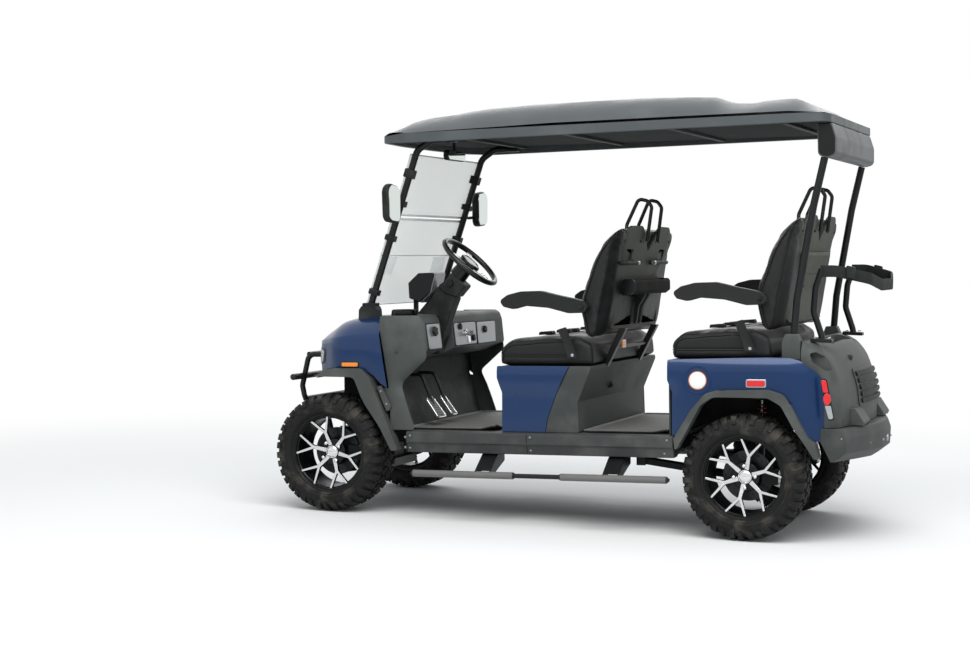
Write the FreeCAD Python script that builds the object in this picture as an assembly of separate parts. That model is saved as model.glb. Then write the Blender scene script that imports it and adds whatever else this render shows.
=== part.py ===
import FreeCAD, Part
import math
import os

# Four-seat lifted golf cart. Millimetres, +X forward, +Y to the left, +Z up.
# The origin is on the ground at mid-length. The body is drawn level in its own frame,
# measured from mid-wheelbase, and then turned tail-high by RAKE about the ground line.

# Stance
WHEELBASE = 2090.0
TRACK = 1008.0
RAKE = 1.9
MID_X = 138.1

# The body's outlines are drawn for a wheelbase of 2090. What a longer one adds goes to the
# front footwell, so the nose moves ahead by GROW and all behind the dash stays together.
GROW = WHEELBASE - 2090.0

# Tyres: regular polygons across, one flat and one lug on each shoulder per side
TYRE_R = 291.0
TYRE_W = 250.0
LUG_H = 12.0
LUG_L = 50.0
LUG_REACH = 78.0
LUGS = 19
TYRE_FIT = 0.4

# Alloy wheels
RIM_LIP_R = 195.0
RIM_SEAT_R = 178.0
RIM_BORE_R = 166.0
RIM_W = 202.0
RIM_LIP_T = 7.0
SPOKES = 6
SPOKE_W = 15.0
SPOKE_D = 16.0
FORK_R = 104.0
FORK_HALF_ANGLE = 15.0
TIP_DROP = 12.0
HUB_DROP = 58.0
HUB_R = 46.0
HUB_CAP_R = 26.0
STUD_PCD = 101.6
STUD_R = 8.0
STUD_COUNT = 4
SPINDLE_R = 17.5
SPINDLE_FIT = 0.05
DISC_R = 118.0
DISC_T = 5.0
DISC_IN = 22.0

# Steering geometry
KINGPIN_IN = 79.0
KINGPIN_Y = TRACK / 2 - KINGPIN_IN
STEER_ARM = 112.0
BALL_R = 15.0
BALL_H = 28.0
BALL_DROP = 104.0
TIE_GAP = 6.0
TIE_R = 9.0
ARM_SPREAD = 140.0
ARM_DIP = 14.0
ARM_R = 12.0
RACK_Y = 150.0
RACK_Z = 262.0

# Body widths
BODY_HALF = 600.0
SKIN = 6.0
COWL_IN = 22.0
COWL_HALF = BODY_HALF - COWL_IN
FLARE_OUT = 28.0
FLARE_HALF = BODY_HALF + FLARE_OUT
NOSE_IN = 170.0
SHOULDER_IN = 160.0
RAIL_Y = 185.0
RAIL_W = 40.0
RAIL_TOP = 402.0
RAIL_H = 56.0
FLOOR_TOP = 443.0
FLOOR_T = 5.0
MAT_T = 6.0

# Sills and step bars
SILL_TOP = 443.0
SILL_LOW = 336.0
SILL_FRONT = 612.0
SILL_REAR = -727.0
SILL_DEPTH = 130.0
SILL_IN = BODY_HALF - SILL_DEPTH
STEP_OUT = 68.0
STEP_Y = BODY_HALF + STEP_OUT
STEP_Z = 244.0
STEP_R = 17.0
STEP_MID_R = 11.0
STEP_FRONT = 548.0
STEP_REAR = -712.0
STEP_WAIST_FRONT = 38.0
STEP_WAIST_REAR = -201.0
STEP_BRACKETS = (190.0, -446.0)

# Seats
SEAT_FRONT_X = 150.0
SEAT_PITCH = 852.0
SEAT_TOP_RISE = 34.0
PEDESTAL_TOP = 760.0
PEDESTAL_HALF = BODY_HALF - 40.0
CUSHION_HALF = BODY_HALF - 30.0
CUSHION_H = 128.0
BACK_HALF = BODY_HALF - 70.0
SHELL_HALF = BACK_HALF - 68.0
SEAT_GAP = 0.5

# Armrests, each on a pin of its seat back
ARM_PIVOT_X = -290.0
ARM_PIVOT_Z = 1042.0
ARM_W = 48.0
ARM_PIN_R = 9.0
ARM_PIN_FIT = 0.05

# Lap belts
BELT_W = 48.0
BELT_T = 2.5

# Roof and its posts
ROOF_OUT = 2.0
ROOF_HALF = BODY_HALF + ROOF_OUT
ROOF_FRONT = 790.0
ROOF_REAR = -1462.0
POST_R = 17.0
POST_IN = 148.0
POST_Y = BODY_HALF - POST_IN
REAR_POST_OUT = 43.0
REAR_POST_Y = SHELL_HALF + REAR_POST_OUT
POST_FOOT_X = 839.0
POST_LEAN = 0.3434
POST_TOP_Z = 1862.0
PANE_T = 5.0
ROOF_CEILING = 1886.0
SIDE_MIRROR_Z = 1508.0

# Rear axle's trailing links, from the axle centre
LINK_EYE_X = 540.0
LINK_TYRE_IN = 134.0
LINK_SILL_IN = 100.0
LINK_EYE_Y = min(TRACK / 2 - LINK_TYRE_IN, SILL_IN - LINK_SILL_IN)
LINK_EYE_Z = 30.0
LINK_PIN_R = 10.0
COIL_R = 26.0

# Spring eyes: the front one by its share of the way along the lower arm, the rear from the axle
EYE_SHARE = 0.447
EYE_RISE = 14.3
REAR_EYE_X = -24.61
REAR_EYE_Z = 40.15
REAR_EYE_IN = 174.0
REAR_EYE_Y = TRACK / 2 - REAR_EYE_IN

# Rails and sill lip
RAIL_FRONT = 1190.0
RAIL_REAR = -1370.0
RAIL_KICK = 98.0
SILL_LIP_IN = 56.0
SILL_LIP_Y = BODY_HALF - SILL_LIP_IN
DASH_FRONT = 708.0
BULKHEAD_X = 718.0
PEDAL_ARM_Z = 700.0

# Brush guard
GUARD_IN = 270.0
GUARD_Y = BODY_HALF - GUARD_IN
GUARD_R = 14.0
GUARD_BAR_R = 16.0
GUARD_END = 112.0

# Rear deck and the supports behind the rear bench
DECK_TOP = 794.0
DECK_REAR = -1313.4
SUPPORT_IN = 42.0
SUPPORT_Y = SHELL_HALF - SUPPORT_IN
WELL_HALF = BODY_HALF - 270.0
COWL_CORNER = BODY_HALF - 220.0
SHELF_OUT = 52.0
HOLDER_BACK = 30.0
HOLDER_R = 27.0
HOLDER_Z = 1196.0

# What a piece keeps from the piece that carries it
TOUCH = 0.3

# How finely round forms are drawn: a corner of ARC_FROM or more is a true arc
ARC_FROM = 250.0
CHORD_TURN = 28.0
TUBE_SIDES = 8
ROUGH_SIDES = 6

# Steering wheel and column
WHEEL_Y = 262.0
COLUMN_TOP_X = 398.0
COLUMN_TOP_Z = 1262.0
COLUMN_LEAN = 42.5
COLUMN_L = 520.0
COLUMN_GAP = 1.0
SHROUD_R = 34.0
STEER_RIM_R = 158.0
STEER_RIM_T = 14.0
STEER_FLATS = 20
GRIP_SIDES = 6
HUB_BACK = 20.0

X_AXIS = FreeCAD.Vector(1, 0, 0)
Y_AXIS = FreeCAD.Vector(0, 1, 0)
Z_AXIS = FreeCAD.Vector(0, 0, 1)
ORIGIN = FreeCAD.Vector(0, 0, 0)
ALONG = {"x": X_AXIS, "y": Y_AXIS, "z": Z_AXIS}


def vec(x, y, z):
    return FreeCAD.Vector(x, y, z)


# Helpers

def flat_point(a, b, at, axis):
    """A point of an outline drawn across axis: (y, z), (x, z) or (x, y)."""
    if axis == "x":
        return vec(at, a, b)
    if axis == "y":
        return vec(a, at, b)
    return vec(a, b, at)


def corner_run(before, corner, after, radius):
    """The rounding of one corner: a true arc when large, else chords of at most CHORD_TURN."""
    if radius <= 0:
        return [corner], None
    back = (before - corner).normalize()
    ahead = (after - corner).normalize()
    half = back.getAngle(ahead) / 2
    reach = radius / math.tan(half)
    start = corner + back * reach
    end = corner + ahead * reach
    centre = corner + (back + ahead).normalize() * (radius / math.sin(half))
    turn = math.pi - 2 * half
    if radius >= ARC_FROM:
        middle = centre + (corner - centre).normalize() * radius
        return [start, end], Part.Arc(start, middle, end).toShape()
    count = max(1, round(turn / math.radians(CHORD_TURN)))
    hinge = ahead.cross(back)
    points = []
    for i in range(count + 1):
        swing = FreeCAD.Rotation(hinge, math.degrees(turn) * i / count)
        points.append(centre + swing.multVec(start - centre))
    return points, None


def outline(points, at, axis):
    """Closed outline of (a, b) or (a, b, corner radius) points."""
    corners = [flat_point(p[0], p[1], at, axis) for p in points]
    count = len(corners)
    edges = []
    runs = []
    for i, corner in enumerate(corners):
        radius = points[i][2] if len(points[i]) > 2 else 0.0
        runs.append(corner_run(corners[i - 1], corner, corners[(i + 1) % count], radius))
    for i, (run, arc) in enumerate(runs):
        if arc:
            edges.append(arc)
        else:
            edges += [Part.LineSegment(a, b).toShape() for a, b in zip(run, run[1:])]
        onward = runs[(i + 1) % count][0][0]
        if run[-1].distanceToPoint(onward) > 1e-6:
            edges.append(Part.LineSegment(run[-1], onward).toShape())
    return Part.Wire(edges)


def prism(points, low, high, axis="y"):
    """The outline, extruded along axis from low to high."""
    return Part.Face(outline(points, low, axis)).extrude(ALONG[axis] * (high - low))


def box(x0, x1, y0, y1, z0, z1):
    return Part.makeBox(x1 - x0, y1 - y0, z1 - z0, vec(x0, y0, z0))


def rod(start, end, radius):
    run = end - start
    return Part.makeCylinder(radius, run.Length, start, run)


def tube(points, radius, bend=0.0, sides=TUBE_SIDES):
    """A bar along points, with flats at the radius and its corners bent."""
    path = [points[0]]
    for before, corner, after in zip(points, points[1:], points[2:]):
        path += corner_run(before, corner, after, bend)[0]
    path.append(points[-1])
    first = (path[1] - path[0]).normalize()
    side = first.cross(X_AXIS if abs(first.x) < 0.9 else Z_AXIS).normalize()
    other = first.cross(side)
    turns = [2 * math.pi * (i + 0.5) / sides for i in range(sides)]
    reach = radius / math.cos(math.pi / sides)
    rings = [[path[0] + (side * math.cos(a) + other * math.sin(a)) * reach for a in turns]]
    for i in range(1, len(path)):
        along = (path[i] - path[i - 1]).normalize()
        onward = (path[i + 1] - path[i]).normalize() if i < len(path) - 1 else along
        mitre = along + onward
        ring = []
        for corner in rings[-1]:
            ring.append(corner + along * (path[i] - corner).dot(mitre) * (1 / along.dot(mitre)))
        rings.append(ring)
    faces = [Part.Face(Part.makePolygon(ring + [ring[0]])) for ring in (rings[0], rings[-1])]
    for here, there in zip(rings, rings[1:]):
        for i in range(sides):
            k = (i + 1) % sides
            faces.append(Part.Face(Part.makePolygon([here[i], here[k], there[k], there[i], here[i]])))
    solid = Part.Solid(Part.Shell(faces))
    if solid.Volume < 0:
        solid.reverse()
    return solid


def bar(start, end, width, depth, across):
    """A rectangular bar from start to end; depth is measured along across."""
    run = end - start
    side = run.cross(across).normalize() * (width / 2)
    deep = across * (depth / 2)
    corners = [start + side + deep, start - side + deep, start - side - deep, start + side - deep]
    face = Part.Face(Part.makePolygon(corners + [corners[0]]))
    return face.extrude(run)


def mirrored(shape):
    return shape.mirror(ORIGIN, Y_AXIS)


def both(shape):
    return [shape, mirrored(shape)]


def joined(shapes):
    return shapes[0].multiFuse(shapes[1:]).removeSplitter()


def raked(shape):
    """Seats a body piece: turned tail-high about the ground line and set at its place."""
    turn = FreeCAD.Placement(vec(MID_X, 0, 0), FreeCAD.Rotation(Y_AXIS, RAKE))
    return placed(moved_x(shape, -GROW / 2), turn)


def level(shape):
    """Seats a piece of the running gear, which is drawn as it stands."""
    return placed(shape, FreeCAD.Placement(vec(MID_X, 0, 0), FreeCAD.Rotation()))


def body_point(x, z):
    """Where a point of the level running gear lies in the raked body's frame."""
    lean = math.radians(RAKE)
    return x * math.cos(lean) - z * math.sin(lean) + GROW / 2, x * math.sin(lean) + z * math.cos(lean)


def moved_x(shape, step):
    return placed(shape, FreeCAD.Placement(vec(step, 0, 0), FreeCAD.Rotation()))


def placed(shape, placement):
    copy = shape.copy()
    copy.Placement = placement.multiply(copy.Placement)
    return copy


# Running gear

def tyre():
    """Tyre about the Y axis at the origin, with its outer face to +Y."""
    carcass_r = TYRE_R - LUG_H
    half = TYRE_W / 2
    bead = RIM_SEAT_R + TYRE_FIT
    # y and radius to the flats, half of the section from the bead to the crown
    flank = (
        (RIM_W / 2 - RIM_LIP_T - TYRE_FIT, bead),
        (RIM_W / 2 - RIM_LIP_T - TYRE_FIT, RIM_LIP_R + 2),
        (half - 4, RIM_LIP_R + 34),
        (half - 34, carcass_r),
    )
    section = list(flank) + [(-y, r) for y, r in reversed(flank)]
    body = faceted_ring(section)
    lugs = []
    step = 360.0 / LUGS
    for side in (1, -1):
        shoulder = (
            (side * (half - LUG_REACH), carcass_r - 8),
            (side * (half - LUG_REACH), TYRE_R),
            (side * (half - 4), TYRE_R - 6),
            (side * (half - 10), carcass_r - 46),
        )
        lug = prism(shoulder, -LUG_L / 2, LUG_L / 2, "x")
        for i in range(LUGS):
            turn = FreeCAD.Rotation(Y_AXIS, 180 + i * step)
            lugs.append(placed(lug, FreeCAD.Placement(ORIGIN, turn)))
    return body.multiFuse(lugs)


def faceted_ring(section, flats=LUGS):
    """A closed (y, radius to the flats) section carried round in flats, one under the axle."""
    step = 2 * math.pi / flats
    stretch = 1 / math.cos(step / 2)
    rings = []
    for y, radius in section:
        angles = [-math.pi / 2 + (i + 0.5) * step for i in range(flats)]
        rings.append([vec(radius * stretch * math.cos(a), y, radius * stretch * math.sin(a)) for a in angles])
    faces = []
    for j, ring in enumerate(rings):
        after = rings[(j + 1) % len(rings)]
        for i in range(flats):
            k = (i + 1) % flats
            faces.append(Part.Face(Part.makePolygon([ring[i], ring[k], after[k], after[i], ring[i]])))
    solid = Part.Solid(Part.Shell(faces))
    if solid.Volume < 0:
        solid.reverse()
    return solid


def faceted_disc(radius, low, high, sides, x=0.0, z=0.0):
    """A regular prism about a line along Y, for what is round but needs few faces."""
    turns = [2 * math.pi * i / sides for i in range(sides)]
    return prism([(x + radius * math.cos(a), z + radius * math.sin(a)) for a in turns], low, high)


def wheel(phase):
    """Alloy wheel, hub and brake disc about the Y axis, with its face to +Y."""
    half = RIM_W / 2
    barrel = faceted_ring((
        (half, RIM_LIP_R),
        (half - 10, RIM_BORE_R + 4),
        (-half, RIM_BORE_R + 4),
        (-half, RIM_SEAT_R),
        (half - RIM_LIP_T, RIM_SEAT_R),
        (half - RIM_LIP_T, RIM_LIP_R),
    ))
    hub_y = half - HUB_DROP
    tip_y = half - TIP_DROP
    face = faceted_disc(HUB_R + 26, hub_y - 14, hub_y, 12)
    sleeve = faceted_disc(HUB_R - 8, -DISC_IN - 30, hub_y - 10, 8)
    bore = Part.makeCylinder(SPINDLE_R, hub_y + DISC_IN + 10, vec(0, -DISC_IN - 30, 0), Y_AXIS)
    cap = faceted_disc(HUB_CAP_R, hub_y - 2, hub_y + 16, 8)
    disc = faceted_disc(DISC_R, -DISC_IN, -DISC_IN + DISC_T, 14)
    pieces = [barrel, joined([face, sleeve, disc]).cut(bore), cap]
    for i in range(STUD_COUNT):
        angle = math.radians(phase + 45 + i * 360.0 / STUD_COUNT)
        pieces.append(faceted_disc(STUD_R, hub_y - 2, hub_y + 14, 6,
                                   STUD_PCD / 2 * math.cos(angle), STUD_PCD / 2 * math.sin(angle)))
    for i in range(SPOKES):
        pieces.append(spoke(math.radians(phase + i * 360.0 / SPOKES), hub_y, tip_y))
    return joined(pieces)


def spoke(angle, hub_y, tip_y):
    """A Y-shaped spoke as one dished plate: a stem to the fork and two arms into the rim."""
    slope = (tip_y - hub_y) / (RIM_BORE_R - HUB_R)
    stem = SPOKE_W / 2
    arm = stem - 1.5
    tip_turn = math.radians(FORK_HALF_ANGLE)
    tip_out = (RIM_BORE_R + 9) * math.cos(tip_turn)
    tip_side = (RIM_BORE_R + 9) * math.sin(tip_turn)
    lean = math.atan2(tip_side, tip_out - FORK_R)
    side_in = arm * math.sin(lean)
    side_up = arm * math.cos(lean)
    upper = (
        (HUB_R, stem),
        (FORK_R + (stem * math.cos(lean) - arm) / math.sin(lean), stem),
        (tip_out - side_in, tip_side + side_up),
        (tip_out + side_in, tip_side - side_up),
    )
    crotch = (FORK_R + arm / math.sin(lean), 0.0)
    outward = vec(math.cos(angle), slope, math.sin(angle))
    sideways = vec(-math.sin(angle), 0, math.cos(angle))
    corners = []
    for out, across in upper + (crotch,) + tuple((o, -a) for o, a in reversed(upper)):
        corners.append(outward * out + sideways * across + Y_AXIS * (hub_y - HUB_R * slope))
    return Part.Face(Part.makePolygon(corners + [corners[0]])).extrude(Y_AXIS * -SPOKE_D)


def knuckle():
    """Left steering knuckle about its kingpin, drawn at the origin on the axle line."""
    hub_in = TRACK / 2 - DISC_IN - 30 - KINGPIN_Y
    reach = BALL_DROP - BALL_H / 2 - TOUCH
    post = box(-22, 22, -16, 20, -reach, reach)
    flange = faceted_disc(40, 20, hub_in - 6, 12)
    end_y = TRACK / 2 + RIM_W / 2 - HUB_DROP - 24 - KINGPIN_Y
    spindle = Part.makeCylinder(SPINDLE_R - SPINDLE_FIT, end_y - 10, vec(0, 10, 0), Y_AXIS)
    drop = RACK_Z - TYRE_R + TIE_GAP + TIE_R
    arm = box(0, STEER_ARM + 14, -9, 9, drop, drop + 14)
    caliper = box(-DISC_R - 26, -DISC_R + 46, 0, 96, -34, 34)
    slot_y = TRACK / 2 - DISC_IN - KINGPIN_Y - 6
    slot = box(-DISC_R - 6, -DISC_R + 80, slot_y, slot_y + DISC_T + 12, -60, 60)
    link = box(-DISC_R + 20, 0, 6, 20, -12, 12)
    return joined([post, flange, spindle, arm, caliper.cut(slot), link])


def steering_rack():
    """Rack bar and both tie rods in one run across the cart."""
    reach = KINGPIN_Y + 6
    rack = rod(vec(0, -reach, 0), vec(0, reach, 0), TIE_R)
    ends = [tube([vec(0, side * reach, -TIE_R), vec(0, side * reach, TIE_R)], TIE_R + 4) for side in (-1, 1)]
    return joined([rack] + ends)


def front_suspension():
    """Subframe, rack housing and two pairs of wishbones, about the front axle line."""
    low = -BALL_DROP
    shell = box(-150, 150, -RAIL_Y, RAIL_Y, -110, -70)
    tower = box(-110, 20, -RACK_Y + 44, RACK_Y - 44, -70, 60)
    housing = faceted_disc(24, -RACK_Y, RACK_Y, 12, STEER_ARM, RACK_Z - TYRE_R)
    bore = Part.makeCylinder(TIE_R + 0.05, 2 * RACK_Y, vec(STEER_ARM, -RACK_Y, RACK_Z - TYRE_R), Y_AXIS)
    foot = box(STEER_ARM - 14, STEER_ARM + 14, -60, 60, -72, RACK_Z - TYRE_R - 20)
    pieces = [shell, tower, housing, foot]
    # The level hangers meet the raked rails at their front or rear corner
    rail_low = RAIL_TOP - RAIL_H - math.sin(math.radians(RAKE)) * (WHEELBASE / 2 + 100) - TYRE_R
    rail_top = RAIL_TOP - math.sin(math.radians(RAKE)) * (WHEELBASE / 2 - 90) - TYRE_R
    for side in (1, -1):
        near, far = sorted((side * (RAIL_Y - RAIL_W + 2), side * (RAIL_Y - 2)))
        pieces.append(box(-100, 100, near, far, -72, rail_low - 0.5))
        near, far = sorted((side * (RAIL_Y - 25), side * (RAIL_Y + 2)))
        pieces.append(box(-75, 75, near, far, rail_top + 0.3, -low + 6))
        for z, spread, pivot_y, dip in ((low, ARM_SPREAD, RAIL_Y - 4, ARM_DIP), (-low, 50, RAIL_Y - 8, -8)):
            ball = vec(0, side * KINGPIN_Y, z)
            for lean in (-1, 1):
                pivot = vec(lean * spread, side * pivot_y, z + dip)
                pieces.append(tube([pivot, ball], ARM_R, 0, ROUGH_SIDES))
            pieces.append(tube([ball - Z_AXIS * (BALL_H / 2), ball + Z_AXIS * (BALL_H / 2)], BALL_R))
    return Part.makeCompound(joined(pieces).cut(bore).Solids)


def front_eye():
    """Where a front spring stands on the lower arm, from the axle's centre."""
    pivot = vec(-ARM_SPREAD, RAIL_Y - 4, ARM_DIP - BALL_DROP)
    ball = vec(0, KINGPIN_Y, -BALL_DROP)
    return pivot + (ball - pivot) * EYE_SHARE + Z_AXIS * EYE_RISE


def rear_axle():
    """Drive axle with its motor and gearbox block, calipers and trailing arms."""
    end = TRACK / 2 + RIM_W / 2 - HUB_DROP - 24
    hub_in = TRACK / 2 - DISC_IN - 30
    beam = faceted_disc(36, -hub_in + 4, hub_in - 4, 12)
    shaft = rod(vec(0, -end, 0), vec(0, end, 0), SPINDLE_R - SPINDLE_FIT)
    gearbox = prism(((110, -90, 30), (120, 70, 40), (-60, 95, 40), (-90, -60, 40)), -80, 70)
    motor = faceted_disc(92, -290, -80, 16, 60, 10)
    pieces = [beam, shaft, gearbox, motor]
    for side in (1, -1):
        caliper = box(-DISC_R - 26, -DISC_R + 46, KINGPIN_Y, KINGPIN_Y + 96, -34, 34)
        slot_y = TRACK / 2 - DISC_IN - 6
        caliper = caliper.cut(box(-DISC_R - 6, -DISC_R + 80, slot_y, slot_y + DISC_T + 12, -60, 60))
        link = box(-DISC_R + 20, 0, KINGPIN_Y + 2, hub_in - 6, -12, 12)
        arm = tube([vec(20, REAR_EYE_Y, -30), vec(LINK_EYE_X, LINK_EYE_Y, LINK_EYE_Z)], 17, 0, ROUGH_SIDES)
        eye = faceted_disc(24, LINK_EYE_Y - 18, LINK_EYE_Y + 18, 12, LINK_EYE_X, LINK_EYE_Z)
        pin_hole = faceted_disc(LINK_PIN_R + 2 * TOUCH, LINK_EYE_Y - 30, LINK_EYE_Y + 30, 8, LINK_EYE_X,
                                LINK_EYE_Z)
        saddle = box(-50, 0, REAR_EYE_Y - 22, REAR_EYE_Y + 22, 10, 38)
        set_of = joined([caliper, link, saddle, joined([arm, eye]).cut(pin_hole)])
        pieces.append(set_of if side == 1 else mirrored(set_of))
    return joined(pieces)


# Frame, floor and sills

def frame():
    """Ladder frame of box rails, with cross members, outriggers and spring towers."""
    low = RAIL_TOP - RAIL_H
    high = RAIL_TOP + RAIL_KICK
    front = RAIL_FRONT + GROW
    rail = prism(((front, low), (front, RAIL_TOP), (-760, RAIL_TOP), (-880, high), (RAIL_REAR, high),
                  (RAIL_REAR, high - RAIL_H), (-860, high - RAIL_H), (-740, low)), RAIL_Y - RAIL_W, RAIL_Y)
    pieces = both(rail)
    for x in (-700, -446, 190, 560 + GROW, front - 40):
        pieces.append(box(x, x + 40, -RAIL_Y, RAIL_Y, low, RAIL_TOP))
    for x in (RAIL_REAR, -960):
        pieces.append(box(x, x + 40, -RAIL_Y, RAIL_Y, high - RAIL_H, high))
    for x in (-700, -446, 190, 560 + GROW):
        pieces.append(box(x, x + 40, -SILL_IN + 0.3, SILL_IN - 0.3, low + 12, RAIL_TOP))
    tower_x = front - 265
    front_tower = box(tower_x, tower_x + 65, RAIL_Y - RAIL_W, front_eye().y + 40, 650, 668)
    front_leg = box(tower_x, tower_x + 65, RAIL_Y - RAIL_W, RAIL_Y - 28, RAIL_TOP, 660)
    rear_tower = box(-1130, -1050, RAIL_Y - RAIL_W, REAR_EYE_Y + 20, 600, 616)
    rear_leg = box(-1130, -1050, RAIL_Y - RAIL_W, RAIL_Y, high - 10, 610)
    eye_x, eye_z = body_point(LINK_EYE_X - WHEELBASE / 2, LINK_EYE_Z + TYRE_R)
    arm_root = box(eye_x - 30, eye_x + 60, RAIL_Y, LINK_EYE_Y + 30, low + 12, RAIL_TOP)
    ear_out = box(eye_x - 22, eye_x + 22, LINK_EYE_Y + 21, LINK_EYE_Y + 30, eye_z - 24, RAIL_TOP)
    ear_in = box(eye_x - 22, eye_x + 22, LINK_EYE_Y - 30, LINK_EYE_Y - 21, eye_z - 24, RAIL_TOP)
    pin = faceted_disc(LINK_PIN_R, LINK_EYE_Y - 30, LINK_EYE_Y + 30, 8, eye_x, eye_z)
    for part in (front_tower, front_leg, rear_tower, rear_leg, arm_root, ear_out, ear_in, pin):
        pieces += both(part)
    return joined(pieces)


def coil_overs():
    """Four spring and damper units, each a plain coil sleeve on its rod."""
    eye = front_eye()
    # x and z of the lower eye as the gear stands, x and z of the upper eye, y of both eyes
    units = (
        (WHEELBASE / 2 + eye.x, TYRE_R + eye.z, 946.0 + GROW, 649.0, eye.y, eye.y - 15),
        (-WHEELBASE / 2 + REAR_EYE_X, TYRE_R + REAR_EYE_Z, -1088.0, 599.0, REAR_EYE_Y, REAR_EYE_Y - 10),
    )
    pieces = []
    for gear_x, gear_z, top_x, top_z, low_y, top_y in units:
        low_x, low_z = body_point(gear_x, gear_z)
        low = vec(low_x, low_y, low_z)
        top = vec(top_x, top_y, top_z)
        run = top - low
        damper = tube([low, top], 14)
        coil = tube([low + run * 0.3, low + run * 0.92], COIL_R)
        pieces += both(joined([damper, coil]))
    return pieces


def floor():
    """Floor pan with its toe board, and the tunnel closed under the front bench."""
    half = SILL_LIP_Y - 0.5
    pan = box(SILL_REAR, 655 + GROW, -half, half, FLOOR_TOP - FLOOR_T, FLOOR_TOP)
    back = BULKHEAD_X + FLOOR_T + 1
    toe = prism(((650, FLOOR_TOP - FLOOR_T), (655, FLOOR_TOP), (BULKHEAD_X, 660), (back, 660),
                 (662, FLOOR_TOP - FLOOR_T)), -half, half)
    wall = box(BULKHEAD_X, back, -half, half, 655, 980)
    return joined([pan, moved_x(joined([toe, wall]), GROW)]).cut(moved_x(column_room(), GROW))


def floor_mats():
    """Two rubber mats with turned-up edges."""
    mats = []
    half = SILL_LIP_Y - 14
    for x0, x1 in ((175, 640 + GROW), (-690, -545)):
        mat = box(x0, x1, -half, half, FLOOR_TOP + TOUCH, FLOOR_TOP + TOUCH + MAT_T + 12)
        well = box(x0 + 8, x1 - 8, 8 - half, half - 8, FLOOR_TOP + TOUCH + MAT_T, FLOOR_TOP + 60)
        mats.append(mat.cut(well))
    return mats


def sills():
    """Rocker panels with a crease and a chamfered lower half."""
    profile = (
        (SILL_IN, SILL_LOW + 20),
        (SILL_IN + 60, SILL_LOW),
        (BODY_HALF - 14, SILL_LOW),
        (BODY_HALF - 4, SILL_LOW + 44),
        (BODY_HALF + 6, SILL_LOW + 52),
        (BODY_HALF, SILL_TOP - 6, 6),
        (BODY_HALF - 30, SILL_TOP),
        (SILL_LIP_Y, SILL_TOP),
        (SILL_LIP_Y, FLOOR_TOP - FLOOR_T - 0.3),
        (SILL_IN, FLOOR_TOP - FLOOR_T - 0.3),
    )
    sill = prism(profile, SILL_REAR, SILL_FRONT + GROW, "x")
    return both(sill)


def step_bars():
    """Side steps: a thick bar with a thinner middle, on two raked plates."""
    front = tube([vec(STEP_WAIST_FRONT, STEP_Y, STEP_Z), vec(STEP_FRONT + GROW, STEP_Y, STEP_Z)], STEP_R)
    middle = tube([vec(STEP_WAIST_REAR, STEP_Y, STEP_Z), vec(STEP_WAIST_FRONT, STEP_Y, STEP_Z)], STEP_MID_R)
    rear = tube([vec(STEP_REAR, STEP_Y, STEP_Z), vec(STEP_WAIST_REAR, STEP_Y, STEP_Z)], STEP_R)
    pieces = [front, middle, rear]
    for x in STEP_BRACKETS:
        plate = prism(((SILL_IN, SILL_LOW + 19), (SILL_IN + 60, SILL_LOW - 1), (SILL_IN + 90, SILL_LOW - 1),
                       (STEP_Y + 8, STEP_Z + 6), (STEP_Y - 10, STEP_Z - 8), (SILL_IN, SILL_LOW - 40)),
                      x - 45, x + 45, "x")
        pieces.append(plate)
    return both(joined(pieces))


# Front body

def nose_form(inset):
    """The nose as a solid: its side, plan and front views crossed, each drawn in by inset."""
    side = prism(((755, 400), (755, 1004 - inset, 20), (935, 996 - inset, 200), (1090, 935 - inset, 120),
                  (1176 - inset, 880, 50), (1176 - inset, 700, 30), (1120, 400)), -FLARE_HALF, FLARE_HALF)
    plan = prism(((755 - inset, -BODY_HALF + inset), (1010, -BODY_HALF + inset, 60),
                  (1176 - inset, NOSE_IN - BODY_HALF, 160), (1196 - inset, 0, 900),
                  (1176 - inset, BODY_HALF - NOSE_IN, 160),
                  (1010, BODY_HALF - inset, 60), (755 - inset, BODY_HALF - inset)), 300, 1100, "z")
    shoulder = BODY_HALF - SHOULDER_IN
    front = prism(((-BODY_HALF + inset, 300), (-BODY_HALF + inset, 905, 120), (-shoulder, 1004 - inset, 160),
                   (shoulder, 1004 - inset, 160), (BODY_HALF - inset, 905, 120), (BODY_HALF - inset, 300)),
                  700, 1300, "x")
    return side.common(plan).common(front)


def hood():
    """Nose and bonnet: three views crossed, hollowed, with the arches cut."""
    skin = nose_form(0).cut(nose_form(SKIN))
    arch = prism(((700, 300), (711, 640), (770, 645, 20), (810, 710, 30), (852, 739, 20), (1028, 737, 20),
                  (1106, 697), (1300, 690), (1300, 300)), -FLARE_HALF, FLARE_HALF)
    return skin.cut(arch)


def front_cowl():
    """Grey cowl behind the bonnet, with a leg down each side to the sill."""
    leg = ((754, 1003, 10), (545, 1001, 30), (520, 792, 40), (655, 675, 40), (626, 601, 60), (572, 444),
           (672, 444), (690, 440), (765, 640), (711, 644), (735, 807))
    side = prism(leg, COWL_HALF - 30, COWL_HALF)
    deck = box(DASH_FRONT + 9, DASH_FRONT + 46, -COWL_HALF + 30, COWL_HALF - 30, 982, 1000)
    return joined(both(side) + [deck])


def fender_flares():
    """Four wheel-arch flares with their legs."""
    front = ((1100, 700), (1021, 743, 30), (846, 745, 40), (790, 690, 40), (676, 420), (645, 345),
             (684, 345), (746, 464, 200), (834, 586, 200), (880, 701, 50), (1078, 703, 20))
    rear = ((-741, 440), (-818, 562), (-890, 654, 50), (-1235, 660, 70), (-1300, 560, 60), (-1389, 421),
            (-1409, 349), (-1385, 349), (-1355, 402), (-1292, 492, 60), (-1218, 622, 60), (-900, 623, 60),
            (-868, 590), (-742, 371))
    seat = BODY_HALF + TOUCH
    return both(moved_x(prism(front, seat, FLARE_HALF), GROW)) + both(prism(rear, seat, FLARE_HALF))


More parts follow.
